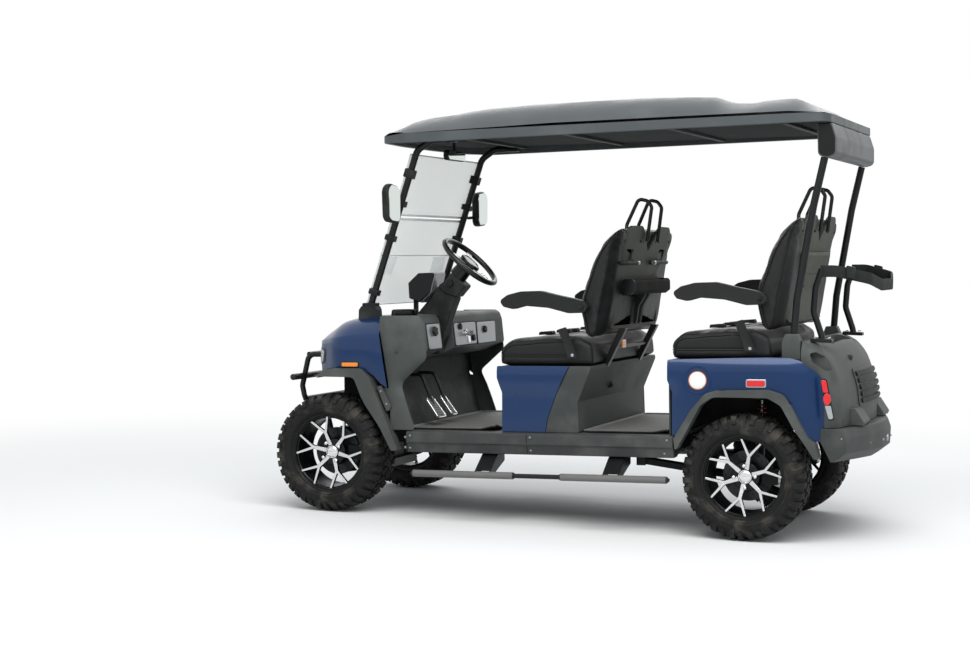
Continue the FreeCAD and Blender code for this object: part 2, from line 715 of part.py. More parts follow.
def front_lamps():
    """An orange marker on each side of the nose."""
    return both(prism(((953, 752), (860, 752), (860, 776), (953, 776)), BODY_HALF + TOUCH, BODY_HALF + 12))


def brush_guard():
    """Tubular guard: two side hoops off the rails, with three bars across."""
    rail_mid = RAIL_Y - RAIL_W / 2
    hoop = tube([vec(1179, GUARD_Y, 800), vec(1262, GUARD_Y, 800), vec(1302, GUARD_Y, 640),
                 vec(1288, GUARD_Y, 570),
                 vec(1246, rail_mid, 505), vec(1214, rail_mid, RAIL_TOP - 30)], GUARD_R, 34, ROUGH_SIDES)
    boss = box(RAIL_FRONT + TOUCH, 1228, RAIL_Y - RAIL_W, RAIL_Y, RAIL_TOP - RAIL_H, RAIL_TOP)
    pieces = both(hoop) + both(boss)
    bar_end = vec(1294, GUARD_Y + GUARD_R, 690)
    pieces.append(tube([vec(bar_end.x, -bar_end.y, bar_end.z), bar_end], GUARD_BAR_R, 0, ROUGH_SIDES))
    pieces += both(rod(bar_end, bar_end + Y_AXIS * GUARD_END, GUARD_BAR_R))
    for x, z in ((1262, 800), (1288, 572)):
        pieces.append(tube([vec(x, -GUARD_Y, z), vec(x, GUARD_Y, z)], GUARD_R, 0, ROUGH_SIDES))
    return joined(pieces)


def dashboard():
    """Dash moulding between the cowl sides."""
    profile = ((DASH_FRONT, 1000), (545, 1000, 30), (532, 950), (540, 836, 20), (620, 790, 30),
               (DASH_FRONT, 770))
    return prism(profile, -COWL_HALF + 30.5, COWL_HALF - 30.5).cut(column_room())


def dash_controls():
    """Switch panels, cup ring and the display on its neck."""
    face = ((531, 950), (539.5, 836), (529, 836), (522, 950))
    end = COWL_HALF - 98
    left = prism(face, 270, end)
    right = prism(face, -end, 60)
    cup_y = COWL_HALF - 108
    turns = [i * math.pi / 8 for i in range(16)]
    ring = [(668 + 62 * math.cos(a), cup_y + 62 * math.sin(a)) for a in turns]
    well = [(668 + 44 * math.cos(a), cup_y + 44 * math.sin(a)) for a in turns]
    cup = prism(ring, 1000 + TOUCH, 1031, "z").cut(prism(well, 1004, 1040, "z"))
    display = prism(((702, 1160), (647, 1209), (560, 1211), (586, 1112), (640, 1062), (698, 1084)), 180, 340)
    neck = box(684, 700, 245, 279, 1000.3, 1090)
    return [left, right, cup, joined([display, neck])]


def windshield_posts():
    """Bent tube posts with their base blocks, one each side."""
    path = [vec(post_x(1030), POST_Y, 1030), vec(post_x(1812), POST_Y, 1812), vec(520, POST_Y, POST_TOP_Z),
            vec(389, POST_Y, POST_TOP_Z)]
    post = tube(path, POST_R, 60)
    base = box(802, 913, POST_Y - 34, POST_Y + 34, 940, 1050).cut(nose_form(-TOUCH))
    pad = box(389, 450, POST_Y - 20, POST_Y + 20, POST_TOP_Z, ROOF_CEILING - TOUCH)
    return both(joined([post, base, pad]))


def post_x(z):
    """The line of the windshield posts, leaning back from the cowl to the roof."""
    return POST_FOOT_X - (z - 1104) * POST_LEAN


def windshield_panes():
    """Clear lower and upper panes, with the thick joint band between."""
    ahead = (POST_R + TOUCH) * math.hypot(1, POST_LEAN)
    panes = []
    for low, high in ((1052, 1490), (1498, 1796)):
        section = ((post_x(low) + ahead, low), (post_x(high) + ahead, high),
                   (post_x(high) + ahead + PANE_T, high),
                   (post_x(low) + ahead + PANE_T, low))
        panes.append(prism(section, -POST_Y - 20, POST_Y + 20))
    return panes


def roof():
    """Moulded canopy: thin nose, raised centre and turned-down edges."""
    nose = ROOF_FRONT + GROW
    side = prism(((nose, 1880, 20), (nose - 120, 1935, 60), (nose - 230, 1972, 80), (nose - 447, 2000, 60),
                  (-500, 2028, 900), (-900, 2020, 60), (-1300, 1998, 80), (ROOF_REAR, 1915, 30),
                  (ROOF_REAR, 1868),
                  (ROOF_REAR + 40, 1866), (nose - 190, 1842), (nose - 60, 1850)), -ROOF_HALF, ROOF_HALF)
    front = prism(((-ROOF_HALF, 1820), (-ROOF_HALF, 1900, 20), (-ROOF_HALF + 150, 1975, 200), (0, 2040, 800),
                   (ROOF_HALF - 150, 1975, 200), (ROOF_HALF, 1900, 20), (ROOF_HALF, 1820)),
                  ROOF_REAR - 10, nose + 10, "x")
    plan = prism(((ROOF_REAR, -ROOF_HALF + 60, 60), (ROOF_REAR + 40, -ROOF_HALF),
                  (nose - 190, -ROOF_HALF, 80),
                  (nose - 50, -ROOF_HALF + 62, 80), (nose, 0, 1200), (nose - 50, ROOF_HALF - 62, 80),
                  (nose - 190, ROOF_HALF, 80), (ROOF_REAR + 40, ROOF_HALF), (ROOF_REAR, ROOF_HALF - 60, 60)),
                 1800, 2100, "z")
    pocket = prism(((ROOF_REAR + 110, 1800), (ROOF_REAR + 110, ROOF_CEILING), (nose - 130, ROOF_CEILING),
                    (nose - 110, 1800)), -ROOF_HALF + 40, ROOF_HALF - 40)
    return side.common(front).common(plan).cut(pocket)


def rear_roof_posts():
    """Rear roof tubes and their feet, and the bench supports behind the rear back."""
    path = [vec(-1270, REAR_POST_Y, DECK_TOP + 15), vec(-1292, REAR_POST_Y, 1067),
            vec(-1372, REAR_POST_Y, 1498),
            vec(-1423, REAR_POST_Y, 1700)]
    post = tube(path, POST_R)
    cap = prism(((-1400, 1690), (-1400, 1711.7), (-1446, 1711.7), (-1446, 1690)), REAR_POST_Y - 22,
                REAR_POST_Y + 22)
    base = box(-1312, -1228, REAR_POST_Y - 34, REAR_POST_Y + 34, DECK_TOP + TOUCH, 908)
    rest = shell_back(SEAT_FRONT_X - SEAT_PITCH) - SHELF_OUT - TOUCH
    foot = box(-1436, -1330, SUPPORT_Y - 24, SUPPORT_Y + 24, 840, 894)
    foot = foot.cut(placed(cowl_form(), FreeCAD.Placement(vec(0, 0, TOUCH), FreeCAD.Rotation())))
    support = prism(((rest - 6, 890), (rest - 52, 890), (rest - HOLDER_BACK, 1080),
                     (rest - HOLDER_BACK, HOLDER_Z + HOLDER_R),
                     (rest, HOLDER_Z + HOLDER_R), (rest, 1124), (rest - 4, 1000)), SUPPORT_Y - 14,
                     SUPPORT_Y + 14)
    return both(joined([post, cap, base])) + both(joined([foot, support]))


def roof_rear_box():
    """Rounded box across the back under the roof."""
    profile = ((-1400, 1865.4), (-1398, 1712, 20), (-1482, 1712, 20), (-1478, 1800, 40), (-1461, 1865.4))
    return prism(profile, -REAR_POST_Y - 34, REAR_POST_Y + 34)


def mirrors():
    """Inside mirror under the roof and one on each windshield post."""
    inside = prism(((560, -128, 10), (590, -116, 12), (590, 116, 12), (560, 128, 10)), 1778, 1834, "z")
    stalk = tube([vec(574, 0, 1800), vec(574, 0, ROOF_CEILING - TOUCH)], 7)
    foot_x = post_x(SIDE_MIRROR_Z)
    side = prism(((foot_x - 52, POST_Y + 78, 16), (foot_x - 8, POST_Y + 94, 24),
                  (foot_x - 8, POST_Y + 216, 24),
                  (foot_x - 52, POST_Y + 232, 16)),
                 SIDE_MIRROR_Z - 60, SIDE_MIRROR_Z + 140, "z")
    arm = tube([vec(foot_x, POST_Y + POST_R + TOUCH, SIDE_MIRROR_Z), vec(foot_x, POST_Y + 48, SIDE_MIRROR_Z),
                vec(foot_x - 24, POST_Y + 108, SIDE_MIRROR_Z)], 7, 0, ROUGH_SIDES)
    return [joined([inside, stalk])] + both(joined([side, arm]))


def column_axis():
    """Centre of the steering wheel and the way down along the column."""
    lean = math.radians(COLUMN_LEAN)
    return vec(COLUMN_TOP_X, WHEEL_Y, COLUMN_TOP_Z), vec(math.sin(lean), 0, -math.cos(lean))


def column_room():
    """The clear bore that the column takes through the dash and the bulkhead."""
    top, along = column_axis()
    return tube([top + along * 60, top + along * (COLUMN_L + 20)], SHROUD_R + COLUMN_GAP)


def steering_column():
    """Column shroud and shaft, with the lower shaft down to the rack."""
    top, along = column_axis()
    shroud = tube([top + along * 60, top + along * (COLUMN_L - 60)], SHROUD_R)
    shaft = tube([top + along * (HUB_BACK + TOUCH), top + along * COLUMN_L], 12)
    rack_x, rack_z = body_point(WHEELBASE / 2 + STEER_ARM, RACK_Z)
    lower = tube([top + along * (COLUMN_L - 8), vec(rack_x - 10 - GROW, RACK_Y - 40, rack_z + 26)], 9)
    return joined([shroud, shaft, lower])


def steering_wheel():
    top, along = column_axis()
    lean = math.radians(COLUMN_LEAN)
    turns = [2 * math.pi * (i + 0.5) / GRIP_SIDES for i in range(GRIP_SIDES)]
    grip = [(STEER_RIM_T * math.sin(a), STEER_RIM_R + STEER_RIM_T * math.cos(a)) for a in turns]
    seat = FreeCAD.Placement(top, FreeCAD.Rotation(Y_AXIS, along))
    rim = placed(faceted_ring(grip, STEER_FLATS), seat)
    hub = placed(faceted_disc(44, -12, HUB_BACK, 12), seat)
    pieces = [rim, hub]
    across = vec(math.cos(lean), 0, math.sin(lean))
    for angle in (0, 120, 240):
        turn = math.radians(angle)
        out = across * (-math.cos(turn)) + Y_AXIS * math.sin(turn)
        pieces.append(bar(top + out * 30, top + out * (STEER_RIM_R - 4), 34, 6, along))
    return joined(pieces)


def pedals():
    """Brake and drive pedals, each hung from the bulkhead on a cranked arm."""
    pads = []
    for y, half in ((330, 52), (160, 34)):
        pad = prism(((548, 470), (576, 590), (586, 588), (558, 468)), y - half, y + half)
        arm = tube([vec(574, y, 560), vec(640, y, PEDAL_ARM_Z), vec(BULKHEAD_X - TOUCH, y, PEDAL_ARM_Z)],
                   8, 30, ROUGH_SIDES)
        pads.append(joined([pad, arm]))
    return pads


# Seats

def pedestal():
    """Front bench base, hollow for the battery."""
    outer = prism(((128, FLOOR_TOP + TOUCH), (119, 631), (144, 703, 30), (144, PEDESTAL_TOP),
                   (-300, PEDESTAL_TOP, 20),
                   (-518, 700, 30), (-518, FLOOR_TOP + TOUCH)), -PEDESTAL_HALF, PEDESTAL_HALF)
    inner = prism(((120, FLOOR_TOP), (112, 631), (136, 703), (136, PEDESTAL_TOP - 8),
                   (-300, PEDESTAL_TOP - 8),
                   (-508, 694), (-508, FLOOR_TOP)), 8 - PEDESTAL_HALF, PEDESTAL_HALF - 8)
    return outer.cut(inner)


def front_side_panels():
    """Blue side panels of the front bench, cut by the arc at their rear edge."""
    panel = prism(((144, 758), (144, 703, 30), (119, 631, 40), (122, 444), (-96, 444), (-105, 511),
                   (-152, 635), (-215, 758)), PEDESTAL_HALF + SEAT_GAP, COWL_HALF)
    return both(panel)


def battery():
    return box(-420, 60, -330, 330, FLOOR_TOP + TOUCH, FLOOR_TOP + 250)


def cushion(x, rise):
    """A bench cushion whose front edge is at x."""
    base = PEDESTAL_TOP + SEAT_GAP + rise
    return prism(((x, base), (x, base + 76, 40), (x - 60, base + CUSHION_H, 60),
                  (x - 400, base + CUSHION_H + 16, 40),
                  (x - 400, base)), -CUSHION_HALF, CUSHION_HALF)


def backrest(x, rise):
    """A bench backrest pad, from its side view; x is the cushion's front edge."""
    points = ((-258, 912, 60), (-250, 1010, 60), (-265, 1083, 200), (-424, 1440, 50), (-478, 1440),
              (-375, 1083), (-345, 912, 30))
    moved = [(px - 150 + x, pz + rise) + tuple(rest) for px, pz, *rest in points]
    pad = prism(moved, -BACK_HALF, BACK_HALF)
    pivot = vec(ARM_PIVOT_X + x - SEAT_FRONT_X, 0, ARM_PIVOT_Z + rise)
    pin = rod(pivot + Y_AXIS * (BACK_HALF - 40), pivot + Y_AXIS * (BODY_HALF - 8), ARM_PIN_R)
    collar = tube([pivot + Y_AXIS * (BACK_HALF - 40), pivot + Y_AXIS * (BODY_HALF - ARM_W - TOUCH)],
                  ARM_PIN_R + 14, 0,
                  ROUGH_SIDES)
    return joined([pad] + both(pin) + both(collar))


def shell_back(x):
    """How far back a shell's upright stretch lies, from its bench's front edge."""
    return x - SEAT_FRONT_X - 440


def seat_shell(x, rise):
    """Moulded rear shell of a backrest: two lobes with a notch between, and a shelf across."""
    points = ((-376, 925, 20), (-376, 1083), (-479, 1440), (-520, 1440, 10), (-440, 1083), (-440, 925, 30))
    moved = [(px - 150 + x, pz + rise) + tuple(rest) for px, pz, *rest in points]
    back = shell_back(x)
    shelf = prism(((back + 4, 1046 + rise), (back - SHELF_OUT, 1086 + rise, 10),
                   (back - SHELF_OUT, 1156 + rise, 10),
                   (back - 30, 1166 + rise, 10), (back - 4, 1130 + rise)), -SHELL_HALF + 50, SHELL_HALF - 50)
    body = joined([prism(moved, -SHELL_HALF, SHELL_HALF), shelf])
    lobes = prism(((-SHELL_HALF, 900 + rise), (-SHELL_HALF, 1395 + rise, 90), (-40, 1395 + rise, 90),
                   (0, 1318 + rise),
                   (40, 1395 + rise, 90), (SHELL_HALF, 1395 + rise, 90), (SHELL_HALF, 900 + rise)), -2000,
                   1000, "x")
    return body.common(lobes)


def back_bracket():
    """Steel brackets that carry the front backrest on its bench's sloping rear."""
    slope = (PEDESTAL_TOP - 700) / (518 - 300)
    back = shell_back(SEAT_FRONT_X)
    front = back + 48
    low_front = PEDESTAL_TOP + (front + 300) * slope + TOUCH
    low_rear = PEDESTAL_TOP + (back + 300) * slope + TOUCH
    strap = prism(((front, low_front), (front, 925 - TOUCH), (back, 925 - TOUCH), (back, low_rear)), 262, 302)
    return both(strap)


def armrest(x, rise, side):
    """A padded armrest, curved down at its front end, on the pin of its seat back."""
    points = ((121, 1075, 14), (80, 1110, 30), (-86, 1119, 120), (-260, 1082, 60), (-319, 1066, 22),
              (-319, 1018, 20),
              (-225, 1012, 60), (-100, 1042, 90), (20, 1046, 60), (60, 1030, 14), (110, 1034, 14))
    moved = [(px - 150 + x, pz + rise) + tuple(rest) for px, pz, *rest in points]
    pad = prism(moved, BODY_HALF - ARM_W, BODY_HALF)
    pivot = vec(ARM_PIVOT_X + x - SEAT_FRONT_X, BODY_HALF - ARM_W - 1, ARM_PIVOT_Z + rise)
    pad = pad.cut(rod(pivot, pivot + Y_AXIS * (ARM_W - 6), ARM_PIN_R + ARM_PIN_FIT))
    return pad if side > 0 else mirrored(pad)


def seat_belts():
    """Lap belts laid on both benches, each with its buckle block."""
    pieces = []
    for x, rise in ((SEAT_FRONT_X, 0.0), (SEAT_FRONT_X - SEAT_PITCH, SEAT_TOP_RISE)):
        top = PEDESTAL_TOP + SEAT_GAP + rise + CUSHION_H + TOUCH
        slope = 16 / 340
        for y in (-330, -60, 60, 330):
            front = top + (150 - 60) * slope
            rear = top + (395 - 60) * slope
            strap = prism(((x - 150, front), (x - 150, front + BELT_T), (x - 395, rear + BELT_T),
                           (x - 395, rear)),
                          y - BELT_W / 2, y + BELT_W / 2)
            buckle = prism(((x - 128, front + 1), (x - 132, front + 20), (x - 196, front + 22),
                            (x - 200, front + 4)),
                           y - BELT_W / 2 - 3, y + BELT_W / 2 + 3)
            pieces.append(joined([strap, buckle]))
    return pieces


# Rear body

def rear_body():
    """Blue quarter panels and the deck across under the rear bench."""
    side = ((-703, 792), (-703, 700, 30), (-722, 647, 40), (-720, 444), (-741, 444), (-818, 562, 100),
            (-890, 656, 50),
            (-1235, 661, 70), (-1300, 560, 60), (-1389, 430), (-1490, 440), (-1490, 560, 200),
            (-1400, 740, 120),
            (-1300, 800, 80), (-1200, 806))
    panel = prism(side, BODY_HALF - 24, BODY_HALF)
    deck = box(DECK_REAR, -703, -BODY_HALF + 24, BODY_HALF - 24, DECK_TOP - 12, DECK_TOP)
    wall = box(-712, -704, -BODY_HALF + 24, BODY_HALF - 24, FLOOR_TOP, 780)
    return joined(both(panel) + [deck, wall])


def cowl_form():
    """The outer form of the rear cowl, rounded in plan towards its back."""
    side = ((-1314, 700), (-1314, 850, 40), (-1400, 882, 60), (-1470, 860, 60), (-1520, 770, 100),
            (-1550, 600),
            (-1550, 480), (-1380, 480))
    half = BODY_HALF - 24 - TOUCH
    plan = prism(((-1300, -half), (-1440, -half, 90), (-1551, -COWL_CORNER, 200), (-1551, COWL_CORNER, 200),
                  (-1440, half, 90), (-1300, half)), 400, 1000, "z")
    return prism(side, -half, half).common(plan)


def rear_cowl():
    """Grey bag well between the quarters."""
    return cowl_form().cut(box(-1480, -1335, -WELL_HALF, WELL_HALF, 560, 900))


def rear_bumper():
    side = ((-1440, 479.7), (-1440, 345), (-1560, 345, 20), (-1600, 380), (-1600, 479.7))
    return prism(side, -BODY_HALF + 30, BODY_HALF - 30)


def rear_lamps():
    lamp = prism(((-1417, 708), (-1440, 708), (-1472, 530), (-1450, 530)), BODY_HALF + 0.3, BODY_HALF + 8)
    marker = prism(((-1075, 672), (-1165, 672), (-1165, 706), (-1075, 706)), BODY_HALF + 0.3, BODY_HALF + 10)
    return both(lamp) + both(marker)


def bag_holder():
    """Padded bar round the bag well, from one bench support to the other."""
    start = shell_back(SEAT_FRONT_X - SEAT_PITCH) - SHELF_OUT - HOLDER_BACK - 2 * TOUCH
    side = [vec(start, SUPPORT_Y, HOLDER_Z), vec(start - 70, SUPPORT_Y, HOLDER_Z),
            vec(start - 210, SUPPORT_Y - 90, HOLDER_Z - 36), vec(start - 248, 150, HOLDER_Z - 72)]
    other = [vec(p.x, -p.y, p.z) for p in reversed(side)]
    return tube(side + other, HOLDER_R, 40)


def corner_place(shape, front, side):
    """A wheel piece drawn at the origin, taken to one corner of the cart."""
    x = WHEELBASE / 2 if front else -WHEELBASE / 2
    turned = shape if side > 0 else mirrored(shape)
    return level(placed(turned, FreeCAD.Placement(vec(x, side * TRACK / 2, TYRE_R), FreeCAD.Rotation())))


def axle_place(shape, front):
    x = WHEELBASE / 2 if front else -WHEELBASE / 2
    return level(placed(shape, FreeCAD.Placement(vec(x, 0, TYRE_R), FreeCAD.Rotation())))


def build():
    """All pieces by node name, each seated in the cart."""
    nodes = {}
    tread = tyre()
    for name, front, side, phase in (("front_left", True, 1, 11), ("front_right", True, -1, 11),
                                     ("rear_left", False, 1, 41), ("rear_right", False, -1, 41)):
        nodes["tyre_" + name] = corner_place(tread, front, side)
        nodes["wheel_" + name] = corner_place(wheel(phase), front, side)
    kingpin = placed(knuckle(), FreeCAD.Placement(vec(0, KINGPIN_Y, 0), FreeCAD.Rotation()))
    nodes["knuckle_left"] = axle_place(kingpin, True)
    nodes["knuckle_right"] = axle_place(mirrored(kingpin), True)
    rack = placed(steering_rack(), FreeCAD.Placement(vec(STEER_ARM, 0, RACK_Z - TYRE_R), FreeCAD.Rotation()))
    nodes["steering_rack"] = axle_place(rack, True)
    nodes["front_suspension"] = axle_place(front_suspension(), True)
    nodes["rear_axle"] = axle_place(rear_axle(), False)
    ahead = {
        "hood": hood, "front_cowl": front_cowl, "front_lamps": front_lamps, "brush_guard": brush_guard,
        "dashboard": dashboard, "dash_controls": dash_controls, "windshield_posts": windshield_posts,
        "windshield_panes": windshield_panes, "mirrors": mirrors, "steering_column": steering_column,
        "steering_wheel": steering_wheel, "pedals": pedals,
    }
    behind = {
        "frame": frame, "coil_overs": coil_overs, "floor": floor, "floor_mats": floor_mats, "sills": sills,
        "step_bars": step_bars, "fender_flares": fender_flares, "roof": roof,
        "rear_roof_posts": rear_roof_posts,
        "roof_rear_box": roof_rear_box, "front_seat_pedestal": pedestal,
        "front_side_panels": front_side_panels,
        "battery": battery, "seat_belts": seat_belts, "seat_brackets": back_bracket, "rear_body": rear_body,
        "rear_cowl": rear_cowl, "rear_bumper": rear_bumper, "rear_lamps": rear_lamps,
        "bag_holder": bag_holder,
    }
    for group, step in ((ahead, GROW), (behind, 0.0)):
        for name, make in group.items():
            shape = make()
            if isinstance(shape, list):
                shape = Part.makeCompound(shape)
            nodes[name] = raked(moved_x(shape, step))
    for bench, x, rise in (("front", SEAT_FRONT_X, 0.0), ("rear", SEAT_FRONT_X - SEAT_PITCH, SEAT_TOP_RISE)):
        nodes[bench + "_seat_cushion"] = raked(cushion(x, rise))
        nodes[bench + "_seat_back"] = raked(backrest(x, rise))
        nodes[bench + "_seat_shell"] = raked(seat_shell(x, rise))
        nodes[bench + "_armrest_left"] = raked(armrest(x, rise, 1))
        nodes[bench + "_armrest_right"] = raked(armrest(x, rise, -1))
    return nodes


def main():
    os.makedirs("parts", exist_ok=True)
    nodes = build()
    for name, shape in nodes.items():
        shape.exportStep("parts/" + name + ".step")
    print(len(nodes), "nodes")


main()
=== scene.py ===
# %% [markdown]
# # A lifted four-seat golf cart
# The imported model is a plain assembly: every panel, tube, pad and wheel is where it should be, but its corners
# are coarse and it has one colour for each node. This notebook dresses it. Rigid pieces that already look right
# get a finish. The rest are drawn again over their solids, with the same sizes, and stand for them.

# %% Load the frame
import math

import bmesh
import bpy
from mathutils import Matrix, Quaternion, Vector
from mathutils.bvhtree import BVHTree
from mathutils.kdtree import KDTree


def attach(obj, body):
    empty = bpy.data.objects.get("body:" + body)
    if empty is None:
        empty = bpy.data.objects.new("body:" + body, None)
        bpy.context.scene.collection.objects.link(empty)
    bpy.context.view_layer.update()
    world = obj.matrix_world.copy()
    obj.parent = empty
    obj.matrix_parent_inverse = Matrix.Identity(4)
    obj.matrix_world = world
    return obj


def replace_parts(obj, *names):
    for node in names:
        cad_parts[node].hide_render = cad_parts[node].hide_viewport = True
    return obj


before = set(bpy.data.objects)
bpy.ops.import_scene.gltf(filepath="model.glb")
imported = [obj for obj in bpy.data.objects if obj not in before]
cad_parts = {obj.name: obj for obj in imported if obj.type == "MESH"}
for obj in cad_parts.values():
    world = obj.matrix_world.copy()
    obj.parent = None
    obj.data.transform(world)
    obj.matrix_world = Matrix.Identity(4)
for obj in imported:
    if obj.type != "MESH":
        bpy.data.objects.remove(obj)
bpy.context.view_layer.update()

# %% [markdown]
# ## Two drawing frames
# The wheels stand level on the ground, but the body is turned tail-high by a little under two degrees. A body
# panel could be drawn in its tilted place, with awkward numbers. It is easier to draw it level, in millimetres
# from mid-wheelbase, and to let one matrix tilt it and bring it to metres.

# %% The body's frame and the wheels' frame
MM = 0.001
RAKE = math.radians(1.9)
MID_X = 0.1381
WHEELBASE = 2090.0
TRACK = 1008.0
TYRE_R = 291.0
GEAR = Matrix.Translation((MID_X, 0, 0)) @ Matrix.Scale(MM, 4)
BODY = Matrix.Translation((MID_X, 0, 0)) @ Matrix.Rotation(RAKE, 4, "Y") @ Matrix.Scale(MM, 4)


def placed(name, data):
    """A new object in the scene."""
    ob = bpy.data.objects.new(name, data)
    bpy.context.scene.collection.objects.link(ob)
    return ob


print("body frame turned by", round(math.degrees(RAKE), 2), "degrees")

# %% [markdown]
# ## Camera, floor and light
# The camera stands where the photographer stood: off the cart's left rear, at chest height, with a short tele
# lens. A matrix from its forward, right and down directions says that more plainly than three angles would.

# %% Camera
YAW, PITCH, ROLL = 0.3588, 0.0421, -0.0177
LENS_MM = 70.35
SENSOR_MM = 36.0
FAR_CLIP = 200
EYE = Vector((-2.961 + MID_X, 9.099, 1.345))
ahead = Vector((math.sin(YAW) * math.cos(PITCH), -math.cos(YAW) * math.cos(PITCH), -math.sin(PITCH)))
right = Vector((-math.cos(YAW), -math.sin(YAW), 0))
down = ahead.cross(right)
right, down = right * math.cos(ROLL) + down * math.sin(ROLL), down * math.cos(ROLL) - right * math.sin(ROLL)
camera = placed("camera", bpy.data.cameras.new("camera"))
camera.data.lens = LENS_MM
camera.data.sensor_width = SENSOR_MM
camera.data.clip_end = FAR_CLIP
axes = Matrix((right, -down, -ahead)).transposed()
camera.matrix_world = Matrix.Translation(EYE) @ axes.to_4x4()
bpy.context.scene.camera = camera
bpy.context.scene.view_settings.view_transform = "Standard"
print("camera", [round(v, 2) for v in EYE])

# %% [markdown]
# The cart is dark, so it needs wide soft light that rolls over its curves. A pale world fills the shadows, and
# one large lamp over the near side gives the tops a brighter side. The world shows as white to the camera and
# in reflections, which leaves the light on the cart as it is.

# %% World and lamps
world = bpy.data.worlds.new("studio")
bpy.context.scene.world = world
world.use_nodes = True
sky = world.node_tree
seen = sky.nodes.new("ShaderNodeLightPath")
white = sky.nodes.new("ShaderNodeMix")
white.data_type = "RGBA"


def either(first, second):
    """1 for a ray of one kind or of the other."""
    node = sky.nodes.new("ShaderNodeMath")
    node.operation = "MAXIMUM"
    sky.links.new(first, node.inputs[0])
    sky.links.new(second, node.inputs[1])
    return node.outputs[0]


straight = either(seen.outputs["Is Camera Ray"], seen.outputs["Is Transmission Ray"])
sky.links.new(either(straight, seen.outputs["Is Glossy Ray"]), white.inputs[0])
SKY_LIGHT = (0.62, 0.65, 0.68, 1)
white.inputs[6].default_value = SKY_LIGHT
white.inputs[7].default_value = (1, 1, 1, 1)
sky.links.new(white.outputs[2], sky.nodes["Background"].inputs["Color"])


def lamp(name, place, aim, size, power):
    light = bpy.data.lights.new(name, "AREA")
    light.shape = "RECTANGLE"
    light.size, light.size_y = size
    light.energy = power
    ob = placed(name, light)
    ob.location = place
    ob.rotation_euler = (Vector(aim) - Vector(place)).to_track_quat("-Z", "Y").to_euler()


SEAT_HEIGHT = (0, 0, 0.8)
lamp("over_near_side", (-1.5, 3.5, 5.0), SEAT_HEIGHT, size=(6, 3.5), power=330)
lamp("over_far_side", (1.0, -4.5, 4.0), SEAT_HEIGHT, size=(6, 3), power=120)
print("two lamps")

# %% [markdown]
# ## Finishes
# Each finish is a small program in nodes. Written out node by node, it hides its own idea, so two classes keep
# it readable: a Tap is a socket that Python can add and multiply, and a Finish is a material that makes any
# other node in one call. Coordinates come from each piece itself, in metres, so a grain has its real size.

# %% A socket that takes part in sums
class Tap:
    def __init__(self, tree, socket):
        self.tree = tree
        self.socket = socket

    def math(self, operation, *terms):
        node = self.tree.nodes.new("ShaderNodeMath")
        node.operation = operation
        for socket, term in zip(node.inputs, terms):
            join(self.tree, term, socket)
        return Tap(self.tree, node.outputs[0])

    def __add__(self, other):
        return self.math("ADD", self, other)

    def __mul__(self, other):
        return self.math("MULTIPLY", self, other)

    __radd__ = __add__
    __rmul__ = __mul__


def join(tree, term, socket):
    if isinstance(term, Tap):
        tree.links.new(term.socket, socket)
    else:
        socket.default_value = term


# %% A finish
class Finish:
    """A material: its plain values are set here, and what varies over it is added by the calls below."""

    def __init__(self, name, color, rough, **fixed):
        self.material = bpy.data.materials.new(name)
        self.material.use_nodes = True
        self.tree = self.material.node_tree
        self.shader = self.tree.nodes["Principled BSDF"]
        self.color = tuple(color) + (1.0,)
        self.put("Base Color", self.color)
        self.put("Roughness", rough)
        self.put("Specular IOR Level", 0.2)
        for key, value in fixed.items():
            self.put(key.replace("_", " ").title().replace("Ior", "IOR"), value)
        self.place = self.node("TexCoord", out="Object")

    def node(self, kind, settings=None, inputs=None, out=0):
        made = self.tree.nodes.new("ShaderNode" + kind)
        for key, value in (settings or {}).items():
            setattr(made, key, value)
        for key, value in (inputs or {}).items():
            join(self.tree, value, made.inputs[key])
        return Tap(self.tree, made.outputs[out])

    def put(self, socket, value):
        join(self.tree, value, self.shader.inputs[socket])

    def noise(self, scale, detail=3.0, place=None):
        return self.node("TexNoise", {}, {"Vector": place or self.place, "Scale": scale, "Detail": detail})

    def mottle(self, scale, detail, swing, base):
        """Roughness that wanders from base up by swing."""
        self.put("Roughness", self.noise(scale, detail) * swing + base)

    def stretch(self, x, y, z):
        return self.node("Mapping", {}, {"Vector": self.place, "Scale": (x, y, z)})

    def tint(self, mask, other):
        """The colour goes towards other where the mask is 1."""
        ends = {0: mask, 6: self.color, 7: tuple(other) + (1,)}
        self.put("Base Color", self.node("Mix", {"data_type": "RGBA"}, ends, 2))

    def emboss(self, height, depth, strength=1.0):
        self.put("Normal", self.node("Bump", {}, {"Height": height, "Distance": depth, "Strength": strength}))

    def band(self, value, low, high):
        return self.node("MapRange", {"interpolation_type": "SMOOTHSTEP"},
                         {"Value": value, "From Min": low, "From Max": high})


def mix_shaders(made, factor, first, second):
    """The material shows first where factor is 0, and second where it is 1."""
    mixed = made.tree.nodes.new("ShaderNodeMixShader")
    join(made.tree, factor, mixed.inputs[0])
    made.tree.links.new(first, mixed.inputs[1])
    made.tree.links.new(second, mixed.inputs[2])
    made.tree.links.new(mixed.outputs[0], made.tree.nodes["Material Output"].inputs["Surface"])


def tone(hexed):
    """Linear colour of an sRGB hex value."""
    parts = [int(hexed[i:i + 2], 16) / 255 for i in (0, 2, 4)]
    return tuple(c / 12.92 if c <= 0.04045 else ((c + 0.055) / 1.055) ** 2.4 for c in parts)


# %% [markdown]
# The blue is a metallic paint under clear coat. The flakes are finer than a millimetre, so they only break up
# the highlight, and the faint waviness of sprayed lacquer shows in reflections. Plain gloss would look like toy
# plastic: the coat layer and a half-metal base give the deep colour that lightens towards the sky.

